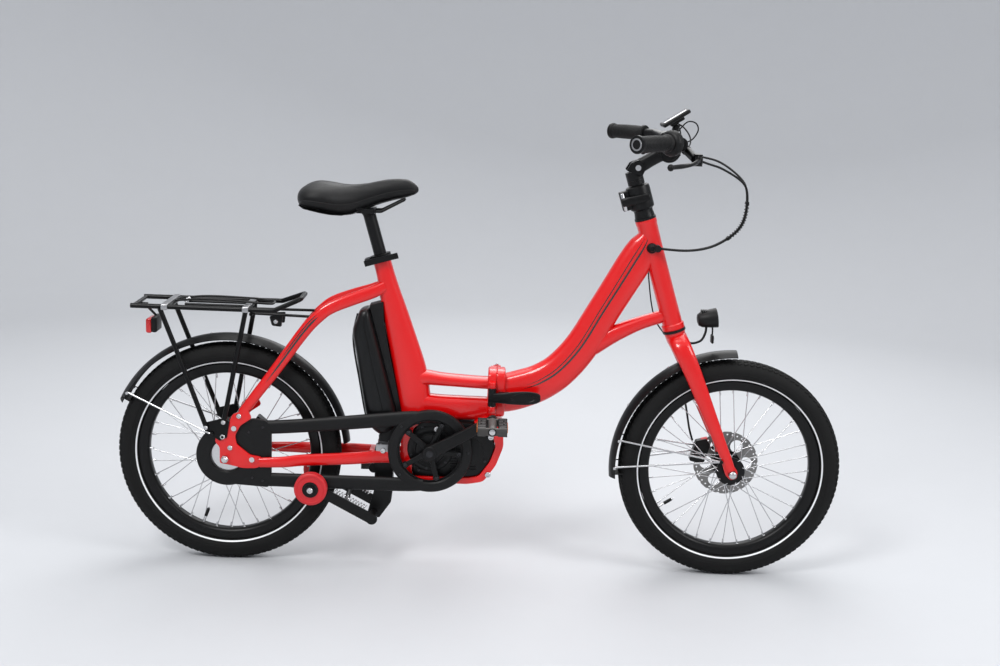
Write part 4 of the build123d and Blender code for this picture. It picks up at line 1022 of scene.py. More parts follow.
class BICYCLE_OT_stays(bpy.types.Operator):
    """Seat stays, chain stays and the axle plates"""

    bl_idname = "bicycle.stays"
    bl_label = "Stays"

    def execute(self, context):
        paint = red_enamel()
        seat, chain = Shape(), Shape()
        for flank in SIDES:
            run = seat.tube([
                (spot(352, 660, flank * 14), 14, 9), (spot(322, 646, flank * 22), 14.5, 8.4),
                (spot(280, 631, flank * 33), 14.5, 8), (spot(234, 612, flank * 43), 14.2, 8),
                (spot(207, 592, flank * 48), 14, 8), (spot(174, 555, flank * 50.8), 13.6, 7.8),
                (spot(110, 464, flank * 55.6), 12.6, 7.4), (spot(38, 366, flank * 60.6), 11, 7),
            ], paint, count=24, steps=8, power=2.2)
            for level, wide, last in ((0.02, 0.9, 51), (0.42, 0.5, 47)):
                seat.stripe(run, 32, last, (level, level), sizes().stripe * wide, flank, stripe_black(), 2.2)
            chain.tube([
                (spot(404, 262, flank * 23), 14.5, 7), (spot(348, 262, flank * 24), 14.5, 7),
                (spot(284, 260, flank * 39), 14.2, 7), (spot(178, 256, flank * 52), 13.6, 7),
                (spot(132, 253, flank * 63), 12.8, 7), (spot(78, 251, flank * 66.6), 11.5, 6.5),
            ], paint, count=24, steps=8, power=2.2)
            low, high = sorted((flank * 61, flank * 67))
            chain.plate([
                (50, 376), (16, 362), (4, 330), (-20, 318), (-24, 296), (-13, 284), (-13, 246), (8, 243),
                (40, 236),
                (72, 237), (88, 247), (82, 264), (56, 268), (26, 292), (22, 312), (34, 336), (60, 354)],
                        low, high, paint, 1.6, 6)
        seat.wire([spot(236, 612, 40), spot(236, 612, 0), spot(236, 612, -40)], 8, paint, 20)
        chain.plate([(325, 249.5), (379, 249.5), (379, 277), (325, 277)], -23.6, 23.6, paint, 2)
        seat.make("seat_stay_tubes", "rear_frame", ["seatstays"], "red_paint")
        chain.make("chain_stay_tubes", "rear_frame", ["chainstays"], "red_paint")
        places = []
        for flank in SIDES:
            for x, z in ((61, 258), (20, 330), (31, 359), (-6, 309), (11, 284)):
                places.append((spot(x, z, flank * 67.4), right(flank)))
        bolts("axle_plate_bolts", places, "rear_frame", 1.25)
        return {"FINISHED"}


class BICYCLE_OT_fork(bpy.types.Operator):
    """A fork whose blades run out of one arched crown"""

    bl_idname = "bicycle.fork"
    bl_label = "Fork"

    def execute(self, context):
        paint = red_enamel()
        shape = Shape()
        fore = Vector((math.cos(HEAD_LEAN), 0, math.sin(HEAD_LEAN)))
        for flank in SIDES:
            shape.tube([
                (spot(1158, 266, flank * 55.8), 6.4, 10.5), (spot(1147, 291, flank * 55.2), 6.8, 11.8),
                (spot(1111, 371, flank * 52.6), 9, 15), (spot(1071, 461, flank * 49.6), 10.6, 18.4),
                (spot(1046, 515, flank * 46), 11.6, 20.6), (spot(1031, 545, flank * 37.5), 13.4, 22.2),
                (spot(1024.5, 557, flank * 22), 15.5, 23.2), (spot(1022.4, 561, flank * 4), 17, 24),
                (spot(1022, 562, -flank * 4), 17, 24),
            ], paint, across=fore, count=32, steps=7, power=2.3)
            low, high = sorted((flank * 50, flank * 57.5))
            shape.plate([(1136, 284), (1150, 298), (1174, 264), (1172, 248), (1158, 244), (1146, 255)], low,
                        high, paint, 1.6, 6)
        up = by_head(0, 0, 1) - by_head(0, 0, 0)
        shape.turned(by_head(0, 0, -34), up,
                     [(0, 15), (4, 21), (18, 23.4), (26, 24.6), (33, 25), (33.6, 24), (33.6, 15)], paint, 44)
        shape.make("fork_blades", "fork", ["fork"], "red_paint")
        ring = Shape()
        ring.turned(by_head(0, 0, -7), up, [(0, 25.4), (0.5, 26.6), (5.6, 26.6), (6.4, 25.6)],
                    black_plastic(), 44, loop=True)
        for flank in (1, -1):
            ring.turned(FRONT + right(flank) * 0.0651, right(flank), [(-7, 9), (0, 9), (2, 8), (4, 4)],
                        bright_steel(), 24)
        ring.make("fork_rings", "fork", (), "black_metal")
        hose = Shape()
        hose.wire([spot(1040, 500, -60), spot(1052, 430, -62.5), spot(1063, 385, -61), spot(1073, 335, -57),
                   spot(1082, 306, -53)], sizes().hose_radius / MM, grip_rubber())
        hose.make("front_brake_hose", "fork", (), "grip_rubber")
        return {"FINISHED"}


# ---------------------------------------------------------------- drive


class BICYCLE_OT_chain_case(bpy.types.Operator):
    """A tubular chain case: a ring round the chainring, two runs and a rear drum"""

    bl_idname = "bicycle.chain_case"
    bl_label = "Chain case"

    def execute(self, context):
        black = black_plastic()
        shape = Shape()

        def hoop(centre, inner, outer, low, high):
            soft = min(5.0, (high - low) / 2.2)
            shape.turned(centre, right(1), [
                (low + soft, outer), (low + soft * 0.35, outer - soft * 0.3), (low, outer - soft),
                (low, inner + soft * 0.6),
                (low + soft * 0.5, inner), (high - soft * 0.5, inner), (high, inner + soft * 0.6),
                (high, outer - soft),
                (high - soft * 0.35, outer - soft * 0.3), (high - soft, outer)], black, 96, loop=True)

        hoop(CRANK, 73.4, 97, 44.2, 60)
        hoop(REAR + Vector((2, 0, 4)) * MM, 37, 71, 44.2, 60.2)
        for stations in (
            [(spot(62, 331, 52.1), 16), (spot(122, 333, 52.1), 16), (spot(250, 345.5, 52.1), 16.4),
             (spot(400, 362.5, 52.1), 16.8), (spot(440, 366, 52.1), 15)],
            [(spot(62, 207, 52.1), 16), (spot(122, 207, 52.1), 16.2), (spot(240, 206.6, 52.1), 16.4),
             (spot(400, 206.2, 52.1), 16.4), (spot(452, 207, 52.1), 14)],
        ):
            shape.tube([(p, h, 7.8) for p, h in stations], black, count=24, steps=6, power=2.3)
        shape.plate([(0, 335), (60, 350), (92, 348), (103, 330), (103, 222), (98, 190), (0, 196), (30, 230),
                     (40, 264), (30, 300)], 44.4, 59.8, black, 3, 6)
        shape.make("chain_case_shell", "rear_frame", ["chain_case"], "black_plastic")
        bolts("chain_case_screws", [(spot(x, z, 60), right(1)) for x, z in (
            (84, 332), (84, 206), (52, 320), (60, 212), (554, 288), (400, 345), (398, 232))], "rear_frame",
              0.6, dark_steel())
        return {"FINISHED"}


class BICYCLE_OT_motor(bpy.types.Operator):
    """The motor: a ribbed housing with round covers"""

    bl_idname = "bicycle.motor"
    bl_label = "Motor"

    def execute(self, context):
        black = satin_black()
        shape = Shape()
        shape.plate([(425, 222), (549, 222), (578.8, 227), (603, 262), (615, 300), (595, 347), (560, 351.2),
                     (441, 351.2), (425, 329)], -33, 33, black, 4, 12)
        for flank in SIDES:
            face = spot(466, 288, flank * 33)
            shape.turned(face, right(flank),
                         [(-2, 54), (2.5, 53), (4, 50), (4.4, 42), (3, 40), (3, 35), (6.5, 33),
                          (7.2, 30), (7.2, 11)], black, 64)
            shape.turned(spot(556, 284, flank * 33), right(flank),
                         [(-2, 34), (2, 33), (4, 29), (5, 12), (5, 3)], black, 48)
            for n in range(5):
                shape.plate([(512, 240 + n * 6), (570, 240 + n * 6), (572, 242.4 + n * 6),
                             (512, 242.4 + n * 6)],
                            *sorted((flank * 32, flank * 35)), black, 0.7)
        shape.make("motor_case", "rear_frame", ["motor_housing"], "black_plastic")
        rim = [(around(spot(466, 288, f * 36.4), 47, math.radians(20 + 60 * n)), right(f)) for f in SIDES
               for n in range(6)]
        edge = [(spot(x, z, f * 33.4), right(f)) for f in SIDES
                for x, z in ((560, 336), (592, 262), (520, 236), (440, 236), (446, 338))]
        bolts("motor_screws", rim + edge, "rear_frame", 0.7, dark_steel())
        return {"FINISHED"}


class BICYCLE_OT_cranks(bpy.types.Operator):
    """Forged crank arms, chainring spider and bolts"""

    bl_idname = "bicycle.cranks"
    bl_label = "Cranks"

    def execute(self, context):
        dress(satin_black(), "chainring")
        for flank, angle, name in CRANK_SIDES:
            shape = Shape()
            turn = math.radians(angle)
            cross = Vector((-math.sin(turn), 0, math.cos(turn)))
            tip = around(CRANK, CRANK_LENGTH, turn) + right(flank) * 0.0925
            root = CRANK + right(flank) * 0.0705
            black = satin_black()
            if flank > 0:
                shape.turned(CRANK, right(1), [(-78, 8.8), (64, 8.8)], bright_steel(), 24)
                shape.turned(CRANK + right(1) * 0.0516, right(1), [(0, 10), (0, 17), (14, 17)], black, 32)
                for n in range(5):
                    a = math.radians(angle + 36 + 72 * n)
                    end = around(CRANK, 70, a) + right(1) * 0.0543
                    shape.tube([(CRANK + right(1) * 0.0552, 2.6, 8.5),
                                (around(CRANK, 34, a) + right(1) * 0.0545, 2.5, 6.2),
                                (around(CRANK, 58, a) + right(1) * 0.0543, 2.4, 6.2), (end, 2.2, 6.6)],
                               black, across=Vector((-math.sin(a), 0, math.cos(a))), count=16, steps=4,
                               power=3)
            shape.tube([(root - (tip - root).normalized() * 0.012, 5.4, 12), (root, 6.4, 16.5),
                        (root.lerp(tip, 0.25), 6.4, 14.5), (root.lerp(tip, 0.7), 5.8, 12.2), (tip, 5.8, 12),
                        (tip + (tip - root).normalized() * 0.011, 4.8, 7.5)],
                       black, across=cross, count=24, steps=6, power=3)
            shape.turned(CRANK + right(flank) * 0.064, right(flank),
                         [(0, 10), (0, 16.6), (1, 17), (14, 17), (15.6, 15.6), (15.9, 9)], black, 36)
            shape.turned(CRANK + right(flank) * 0.0796, right(flank), [(-1, 8), (0.6, 8), (1, 7), (1, 3)],
                         dark_steel(), 24)
            shape.turned(tip - right(flank) * 0.0062, right(flank),
                         [(0, 5), (0, 11.4), (0.8, 12), (12.2, 12), (13, 11), (13, 5)], black, 32)
            shape.turned(tip, right(flank), [(0, 4.9), (96, 4.9)], bright_steel(), 20)
            shape.make("crank_arm_" + name, "crank", ["crank_" + name], "black_metal")
        ring = []
        for n in range(5):
            at = around(CRANK, 66, math.radians(CRANK_SIDES[0][1] + 36 + 72 * n)) + right(1) * 0.0565
            ring.append((at, right(1)))
        bolts("chainring_bolts", ring, "crank", 1.1, dark_steel())
        return {"FINISHED"}


class BICYCLE_OT_pedals(bpy.types.Operator):
    """Pedals with a resin cage, rubber treads, grip pins and amber reflectors"""

    bl_idname = "bicycle.pedals"
    bl_label = "Pedals"

    def execute(self, context):
        resin = surface("Pedal resin", (0.035, 0.032, 0.030), 0.48, grain=900, pebble=0.8, dust=0.3,
                        scuff=0.5, worn=(0.14, 0.13, 0.12))

        def pin(shape):
            shape.turned(Vector(), UP, [(-1, 1.8), (1.0, 1.8), (1.6, 1.2)], None, count=8)

        for flank, angle, name in CRANK_SIDES:
            turn = math.radians(angle)
            centre = around(CRANK, CRANK_LENGTH, turn)
            shape = Shape()
            x, z = (centre.x - REAR.x) / MM, centre.z / MM
            for step in SIDES:
                mid = spot(x + step * 23, z, flank * PEDAL_OUT)
                shape.block(mid, ACROSS, UP, (84, 19, 21), resin, 2.6)
                for n in range(6):
                    shape.block(spot(x + step * 23, z, flank * (116 + n * 13.6)), ACROSS, UP,
                                (6, 20, 23.4), grip_rubber(), 1.0)
                shape.block(spot(x + step * 33.2, z, flank * PEDAL_OUT), ACROSS, UP,
                            (46, 2.2, 13), amber_lens(), 0.8)
            for out in (109, 189):
                shape.block(spot(x, z, flank * out), (1, 0, 0), UP, (64, 8, 17), resin, 2)
            shape.turned(spot(x, z, flank * 105), right(flank),
                         [(0, 5.3), (0, 9), (1.4, 10.6), (60, 10.2), (85, 11), (88, 9),
                          (88, 0.5)], resin, 28)
            shape.turned(spot(x, z, flank * 193), right(flank), [(-1, 7), (0.2, 6.6), (1.2, 4)],
                         bright_steel(), 24)
            shape.make("pedal_cage_" + name, "pedal_" + name, ["pedal_" + name], "black_plastic")
            places = []
            for step in SIDES:
                for up in SIDES:
                    for out in (109, 135, 163, 189):
                        places.append((spot(x + step * 25, z + up * (8.7 if out in (109, 189) else 11.6),
                                            flank * out),
                                       (0, 0, up)))
            master = master_piece("pin_master", pin)
            scatter("pedal_pins_" + name, master, places, dark_steel(), "pedal_" + name)
            bpy.data.objects.remove(master)
        return {"FINISHED"}


class BICYCLE_OT_battery(bpy.types.Operator):
    """The battery behind the seat tube, with its seam, lock and socket cover"""

    bl_idname = "bicycle.battery"
    bl_label = "Battery"

    def execute(self, context):
        black = battery_black()
        shape = Shape()
        rows = [(-95.5, -58, -74, 26), (-99, -55, -80, 34), (-112, -53.4, -89, 39),
                (-138, -53.4, -106, 41.5),
                (-190, -54, -112.5, 42), (-260, -55, -121, 42), (-330, -56.4, -128.5, 42),
                (-350, -57, -130, 41.4),
                (-368, -60, -124.5, 39), (-380, -72, -117, 34), (-385, -86, -112, 28)]
        run = curve_through([(Vector((front, back, z)), wide) for z, front, back, wide in rows], 5)
        rings = []
        for (front, back, z), wide in run:
            mid, half = (front + back) / 2, (front - back) / 2
            ring = []
            for n in range(44):
                turn = math.tau * n / 44
                c, s = math.cos(turn), math.sin(turn)
                x = mid + half * math.copysign(abs(c) ** 0.6, c)
                out = wide * math.copysign(abs(s) ** 0.62, s) * (1 - 0.10 * max(0.0, -c))
                ring.append(by_seat(x, out, z))
            rings.append(ring)
        shape.skin(rings, black)
        shape.make("battery_case", "battery", ["battery"], "black_plastic")
        trim = Shape()
        for flank in SIDES:
            trim.wire([by_seat(-70, flank * 39.4, -108), by_seat(-76, flank * 42.1, -150),
                       by_seat(-82, flank * 42.3, -250),
                       by_seat(-86, flank * 42.2, -340), by_seat(-92, flank * 38, -372)], 0.9,
                      satin_black(), 8)
        trim.wire([by_seat(-86, 0, -104), by_seat(-112, 0, -160), by_seat(-124, 0, -260),
                   by_seat(-131.5, 0, -345), by_seat(-122, 0, -375)], 2.2, black, 10)
        trim.turned(by_seat(-74, -42.2, -200), right(-1),
                    [(-2, 9), (0.6, 9), (1.2, 8), (1.2, 4), (0.2, 3.6)], bright_steel(), 28)
        trim.turned(by_seat(-92, -40.6, -320), right(-1), [(-2, 13), (1.8, 13), (2.6, 11.6), (2.8, 4)],
                    black, 28)
        trim.make("battery_trim", "battery", (), "black_plastic")
        dress(black_plastic(), "battery_mount")
        return {"FINISHED"}


# ---------------------------------------------------------------- seat

SADDLE_ROWS = (
    (154, 34, 866, 846), (159, 54, 876, 838), (171, 68, 884, 832), (188, 75, 889, 829), (208, 76, 890, 825),
    (230, 70, 888, 821), (254, 57, 885, 819), (278, 43, 885, 823), (304, 32, 889, 834), (336, 25, 897, 847),
    (368, 21.5, 904, 857), (390, 19.5, 905, 862), (404, 17, 901, 866), (415, 12.5, 894, 870),
    (423, 5, 886, 876),
)


# The cloth run that fills the saddle's cover: mesh size, pressure, frames and the furthest a point may move.
COVER_VOXEL, COVER_PRESSURE, COVER_FRAMES, COVER_CAP = 0.0042, 4.0, 20, 2.2 * MM


class BICYCLE_OT_saddle(bpy.types.Operator):
    """A foam saddle with a stretched cover, a shell and a sewn seam"""

    bl_idname = "bicycle.saddle"
    bl_label = "Saddle"

    def section(self, row, shrink=0.0):
        """One cross-section of the saddle, crowned above and tucked in below."""
        x, wide, top, low = row
        ring = []
        for n in range(40):
            turn = math.tau * n / 40
            c, s = math.cos(turn), math.sin(turn)
            share = math.copysign(abs(c) ** 0.8, c)
            middle_z = low + (top - low) * 0.46
            if s >= 0:
                z = middle_z + (top - middle_z) * s ** 0.85
                z -= 3.2 * math.exp(-((share * wide) / 7.5) ** 2) * (1 if x < 392 else 0.3)
            else:
                z = middle_z + (middle_z - low) * -((-s) ** 0.7)
                share *= 0.93
            ring.append(spot(x, z, share * (wide - shrink)))
        return ring

    def execute(self, context):
        rows = [(p.x, p.y, p.z, low) for p, low in curve_through(
            [(Vector((x, wide, top)), low) for x, wide, top, low in SADDLE_ROWS], 4)]
        shape = Shape()
        shape.skin([self.section(row, 0.8) for row in rows], saddle_cover())
        bmesh.ops.recalc_face_normals(shape.bm, faces=shape.bm.faces)
        mesh = bpy.data.meshes.new("saddle_pad")
        shape.bm.to_mesh(mesh)
        shape.bm.free()
        pad = placed("saddle_pad", mesh)
        pad = self.puffed(context, pad)
        pad.data.materials.clear()
        pad.data.materials.append(saddle_cover())
        pad.data.shade_smooth()
        modifier = pad.modifiers.new("Smooth", "SUBSURF")
        modifier.levels = modifier.render_levels = 1
        settle(pad, "seatpost", ["saddle"])
        self.trim()
        dress(satin_black(), "saddle_mount", "seatpost", "seat_collar", "seat_lever")
        return {"FINISHED"}

    def puffed(self, context, pad):
        """Fills the cover with foam by a short cloth run, its movement capped."""
        remesh = pad.modifiers.new("Even", "REMESH")
        remesh.mode = "VOXEL"
        remesh.voxel_size = COVER_VOXEL
        even = bpy.data.meshes.new_from_object(pad.evaluated_get(context.evaluated_depsgraph_get()))
        bpy.data.objects.remove(pad)
        pad = placed("saddle_pad", even)
        before = [v.co.copy() for v in even.vertices]
        cloth = pad.modifiers.new("Cover", "CLOTH")
        cloth.settings.use_pressure = True
        cloth.settings.uniform_pressure_force = COVER_PRESSURE
        cloth.settings.effector_weights.gravity = 0.0
        for number in range(1, COVER_FRAMES + 1):
            context.scene.frame_set(number)
        done = bpy.data.meshes.new_from_object(pad.evaluated_get(context.evaluated_depsgraph_get()))
        bpy.data.objects.remove(pad)
        context.scene.frame_set(1)
        for vertex, start in zip(done.vertices, before):
            move = vertex.co - start
            if move.length > COVER_CAP:
                vertex.co = start + move.normalized() * COVER_CAP
        pad = placed("saddle_pad", done)
        return pad

    def trim(self):
        """The seam round the cover and the shell under it."""
        seam = Shape()
        for flank in SIDES:
            line = []
            for x, wide, top, low in SADDLE_ROWS[1:-1]:
                line.append(spot(x, low + (top - low) * 0.40, flank * (wide + 1.3)))
            seam.wire(line, 0.9, grip_rubber(), 8, 5)
        seam.make("saddle_seam", "seatpost", (), "saddle_cover")
        shell = Shape()
        rows = [(x, wide * 0.9, low + 3.5) for x, wide, top, low in SADDLE_ROWS[1:-1]]
        rings = []
        for x, wide, low in rows:
            ring = []
            for n in range(20):
                turn = math.tau * n / 20
                ring.append(spot(x, low + 2.2 * math.sin(turn) - 1.5, wide * math.cos(turn)))
            rings.append(ring)
        shell.skin(rings, black_plastic())
        shell.make("saddle_shell", "seatpost", (), "black_plastic")


# ---------------------------------------------------------------- mudguards, rack and lamps


class BICYCLE_OT_fenders(bpy.types.Operator):
    """Curved mudguards with wire stays, end flaps and bolts"""

    bl_idname = "bicycle.fenders"
    bl_label = "Mudguards"

    def execute(self, context):
        for end, centre, start, sweep, body, stays, mount in (
            ("rear", REAR, 7, 148, "rear_frame", (149,), (-30, 58, 75.5)),
            ("front", FRONT, 90, 96, "fork", (180, 166), (-28, 30, 61)),
        ):
            black = gloss_black()
            shape = Shape()
            outer = []
            for n in range(13):
                out = -30 + 5 * n
                outer.append((out, 280 - 12 * (out / 30) ** 2 + (0.8 if abs(out) == 30 else 0)))
            inner = [(a, r - 1.6) for a, r in reversed(outer)]
            shape.turned(centre, right(1), outer + inner, black, 72, arc=(start, sweep))
            for flank in SIDES:
                for turn in stays:
                    a = math.radians(turn)
                    base = centre + Vector((mount[0], -flank * mount[2], mount[1])) * MM
                    tip = around(centre, 267.4, a) + right(flank) * 0.0312
                    shape.wire([base, base.lerp(tip, 0.5), tip], sizes().stay_radius / MM, bright_steel())
                    shape.turned(base, right(flank), [(-6, 4.2), (3, 4.2), (4, 3.2), (4, 1)], satin_black(),
                                 20)
            flap = math.radians(start + sweep - 2)
            shape.block(around(centre, 262, flap), ACROSS, around(Vector(), 1000, flap), (52, 2.4, 26),
                        grip_rubber(), 1)
            shape.make(end + "_mudguard", body, [end + "_fender"], "gloss_black")
            places = []
            for flank in SIDES:
                for turn in stays:
                    a = math.radians(turn + 0.6)
                    places.append((around(centre, 268.6, a) + right(flank) * 0.0304, right(flank)))
            for turn in (start + sweep * 0.35, start + sweep * 0.62):
                a = math.radians(turn)
                places.append((around(centre, 279.6, a), around(Vector(), 1000, a)))
            bolts(end + "_mudguard_bolts", places, body, 0.75)
        return {"FINISHED"}


class BICYCLE_OT_rack(bpy.types.Operator):
    """The luggage rack's straps, spring clip and struts"""

    bl_idname = "bicycle.rack"
    bl_label = "Rack"

    def execute(self, context):
        dress(gloss_black(), "rack")
        shape = Shape()
        grey = alloy_grey()
        for x in (-136, 45):
            for flank in SIDES:
                shape.block(spot(x, 604, flank * 63), ACROSS, UP, (16, 15, 13.4), grey, 2.4)
            shape.block(spot(x, 609.6, 0), ACROSS, UP, (128, 14, 1.8), grey, 0.6)
        clip = satin_black()
        for flank in SIDES:
            shape.wire([spot(-120, 611, flank * 16), spot(-60, 617, flank * 22), spot(20, 616, flank * 24),
                        spot(70, 613, flank * 26), spot(96, 611, flank * 18), spot(100, 611, 0)], 2.4, clip)
        shape.wire([spot(-120, 611, -17), spot(-124, 611, 0), spot(-120, 611, 17)], 2.4, clip)
        shape.make("rack_straps", "rear_frame", (), "black_metal")
        spring = Shape()
        for flank in SIDES:
            turns = [spot(-98 + 3.6 * math.cos(n * 0.7), 611 + 3.6 * math.sin(n * 0.7),
                          flank * (3 + n * 0.36)) for n in range(42)]
            spring.wire(turns, 0.9, bright_steel(), 6, 2)
        for low in (-26, 22):
            spring.plate([(92, 584), (122, 586), (120, 560), (98, 562)], low, low + 4, satin_black(), 0.8, 4)
        spring.make("rack_springs", "rear_frame", (), "steel")
        places = [(spot(107, 572, f * 26.2), right(f)) for f in SIDES] + [(spot(-42, 332, f * 79), right(f))
                                                                          for f in SIDES]
        places += [(spot(-2, 346, f * 79), right(f)) for f in SIDES]
        bolts("rack_bolts", places, "rear_frame", 1.1)
        return {"FINISHED"}


class BICYCLE_OT_lamps(bpy.types.Operator):
    """Head lamp with its wire bracket and reflector, and the tail lamp"""

    bl_idname = "bicycle.lamps"
    bl_label = "Lamps"

    def execute(self, context):
        shape = Shape()
        black = black_plastic()
        ahead = (spot(1112, 613) - spot(1069, 606)).normalized()
        shape.turned(spot(1066, 605.5), ahead,
                     [(0, 6), (2, 13), (10, 18), (28, 21), (42, 22.5), (46, 22.5), (46, 20.4),
                      (43, 20)], black, 48)
        shape.turned(spot(1066, 605.5), ahead, [(41, 20), (46.5, 19.4), (49, 14), (50, 6)], clear_lens(), 48)
        shape.wire([spot(1041, 556, 14), spot(1058, 554, 14), spot(1076, 561, 13), spot(1085, 577, 10),
                    spot(1087, 592, 8)], 2.8, satin_black())
        shape.block(spot(1103, 563), ACROSS, UP, (24, 5, 19), black, 2)
        shape.block(spot(1106.4, 563), ACROSS, UP, (20, 2, 15), clear_lens(), 0.8)
        shape.wire([spot(1101, 596), spot(1103, 584), spot(1103, 570)], 2, satin_black())
        for n in range(4):
            shape.plate([(1074 + n * 5, 622 + n), (1077 + n * 5, 622.6 + n), (1077 + n * 5, 630),
                         (1074 + n * 5, 629)],
                        -9, 9, black, 0.6)
        shape.make("head_lamp", "fork", ["headlight"], "black_plastic")
        tail = Shape()
        tail.block(spot(-170, 554), ACROSS, UP, (52, 14, 36), black, 5)
        tail.block(spot(-182, 551), ACROSS, UP, (50, 14, 34), red_lens(), 5)
        tail.wire([spot(-170, 572, 0), spot(-184, 586, 0), spot(-198, 599, 0)], 3, satin_black())
        tail.block(spot(-201, 597.6), ACROSS, UP, (22, 22, 5), black, 1.4)
        tail.make("tail_lamp", "rear_frame", ["tail_light"], "red_plastic")
        return {"FINISHED"}


class BICYCLE_OT_stand(bpy.types.Operator):
    """The folding stand's legs, springs and transport rollers"""

    bl_idname = "bicycle.stand"
    bl_label = "Stand and rollers"

    def execute(self, context):
        dress(satin_black(), "stand_bracket", "stand_legs")
        for flank, name in ((1, "right"), (-1, "left")):
            shape = Shape()
            face = spot(197, 197, flank * 67.5)
            tread = [(0, 6.3), (0, 19), (1.6, 19.6), (1.6, 30), (0.4, 31), (0.4, 34.6), (2.4, 37.3),
                     (8, 37.5),
                     (10, 36.3), (12, 36.3), (14, 37.5), (19.6, 37.3), (21.6, 34.6), (21.6, 31), (20.4, 30),
                     (20.4, 19.6), (22, 19), (22, 6.3)]
            shape.turned(face, right(flank), tread, roller_red(), 64, loop=True)
            shape.turned(face, right(flank),
                         [(20.6, 6.3), (20.6, 19), (22.2, 18.4), (22.4, 10), (22.4, 6.3)], satin_black(),
                         48, loop=True)
            shape.make("roller_wheel_" + name, "roller_" + name, ["roller_" + name], "red_plastic")
        spring = Shape()
        start, end = spot(322, 148, 54), spot(250, 186, 54)
        for flank in SIDES:
            base = Vector((start.x, -flank * 0.054, start.z))
            tip = Vector((end.x, -flank * 0.054, end.z))
            along = (tip - base)
            up = ACROSS.cross(along.normalized())
            coil = [base + along * (n / 90) + (up * math.cos(n * 0.8) + ACROSS * math.sin(n * 0.8)) * 0.0048
                    for n in range(91)]
            spring.wire(coil, 0.9, bright_steel(), 6, 2)
        spring.make("stand_springs", "stand", (), "steel")
        bolts("roller_bolts", [(spot(197, 197, f * 93.2), right(f)) for f in SIDES], "stand", 1.5)
        bolts("stand_clamp_bolt", [(spot(354, 281), UP)], "rear_frame", 1.5)
        plate = Shape()
        for flank in SIDES:
            plate.plate([(340, 292), (372, 292), (372, 264), (340, 264)],
                        *sorted((flank * 24.4, flank * 26.4)), alloy_grey(), 0.6, 3)
        plate.make("stand_clamp_plates", "rear_frame", (), "steel")
        bolts("stand_side_bolts", [(spot(356, 278, f * 26.6), right(f)) for f in SIDES], "rear_frame", 1.4)
        return {"FINISHED"}


# ---------------------------------------------------------------- stem and bar


class BICYCLE_OT_stem(bpy.types.Operator):
    """The telescopic stem: spacer, clamp, turning neck and tilting arm"""

    bl_idname = "bicycle.stem"
    bl_label = "Stem"

    def execute(self, context):
        black = satin_black()
        up = by_head(0, 0, 1) - by_head(0, 0, 0)
        base = Shape()
        base.turned(by_head(0, 0, 260.4), up,
                    [(0, 17.4), (0, 24), (1, 24.6), (5, 24.6), (6, 23), (17, 21.4), (23, 21.6),
                     (25, 24.4), (27, 26.8), (32, 27.4), (72, 27.4), (77, 26.4), (79, 23),
                     (79.6, 13.4)], black, 48)
        base.block(by_head(-32, 0, 312.5), by_head(1, 0, 0) - by_head(0, 0, 0), up, (24, 26, 44), black, 3)
        base.make("stem_clamp", "fork", ["stem_base"], "black_metal")
        bolts("stem_clamp_bolts", [(by_head(-38, 12.6, 312.5 + n * 13), right(1)) for n in SIDES]
              + [(by_head(-38, -12.8, 312.5 + n * 13), right(-1)) for n in SIDES], "fork", 0.9)
        lever = Shape()
        lever.turned(by_head(-38, 17.5, 292.5), up,
                     [(0, 1), (0, 3.6), (0.8, 4.2), (39.2, 4.2), (40, 3.6), (40, 1)], bright_steel(), 20)
        lever.tube([(by_head(-42, 27, 312.5), 9, 5), (by_head(-32, 30.5, 312.5), 9.6, 3.6),
                    (by_head(-8, 31.5, 311.5), 9, 3),
                    (by_head(14, 31.2, 310.5), 8, 2.8), (by_head(19, 31, 310.2), 5.5, 2)], black,
                   count=20, power=2.6)
        lever.block(by_head(-38, 24, 312.5), by_head(1, 0, 0) - by_head(0, 0, 0), up, (9, 13, 19), black,
                    1.6)
        lever.make("stem_clamp_lever", "stem_lever", ["stem_lever"], "black_metal")
        dress(black, "stem_core", "stem_neck", "handlebar")
        arm = Shape()
        arm.turned(spot(910, 948, -14), right(1),
                   [(0, 5), (0, 15.6), (1.4, 17), (26.6, 17), (28, 15.6), (28, 5)], black, 40)
        arm.tube([(spot(904, 944), 14, 11), (spot(918, 953), 16, 11.6), (spot(940, 967), 15.5, 11.8),
                  (spot(960, 979), 16.5, 12), (spot(974, 985), 18, 12.4)], black, count=28,
                 power=2.8)
        arm.turned(spot(978, 987, -20), right(1),
                   [(0, 11.3), (0, 19.6), (1.4, 21), (38.6, 21), (40, 19.6), (40, 11.3)], black, 44)
        arm.block(spot(990, 992), (spot(978, 987) - spot(910, 948)).normalized(), (0, 0, 1), (16, 38, 30),
                  black, 3)
        arm.turned(spot(910, 948, -22.5), right(1),
                   [(0, 3), (0, 6.4), (3, 6.8), (3, 5), (42, 5), (42, 6.8), (45, 6.4), (45, 3)],
                   bright_steel(), 24)
        arm.make("stem_arm_forging", "handlebar", ["stem_arm"], "black_metal")
        ahead = (spot(978, 987) - spot(910, 948)).normalized()
        rise = ACROSS.cross(ahead)
        rise = -rise if rise.z < 0 else rise
        places = [(spot(998.5, 997, f * 13) + rise * (n * 0.010), ahead) for f in SIDES for n in SIDES]
        bolts("bar_clamp_bolts", places, "handlebar", 0.85)
        return {"FINISHED"}


def on_bar(along, flank):
    """A point on a grip's centre line, in mm from its root."""
    root, end = spot(968, 1015, flank * 200), spot(874.7, 1014, flank * 300)
    return root + (end - root).normalized() * (along * MM)


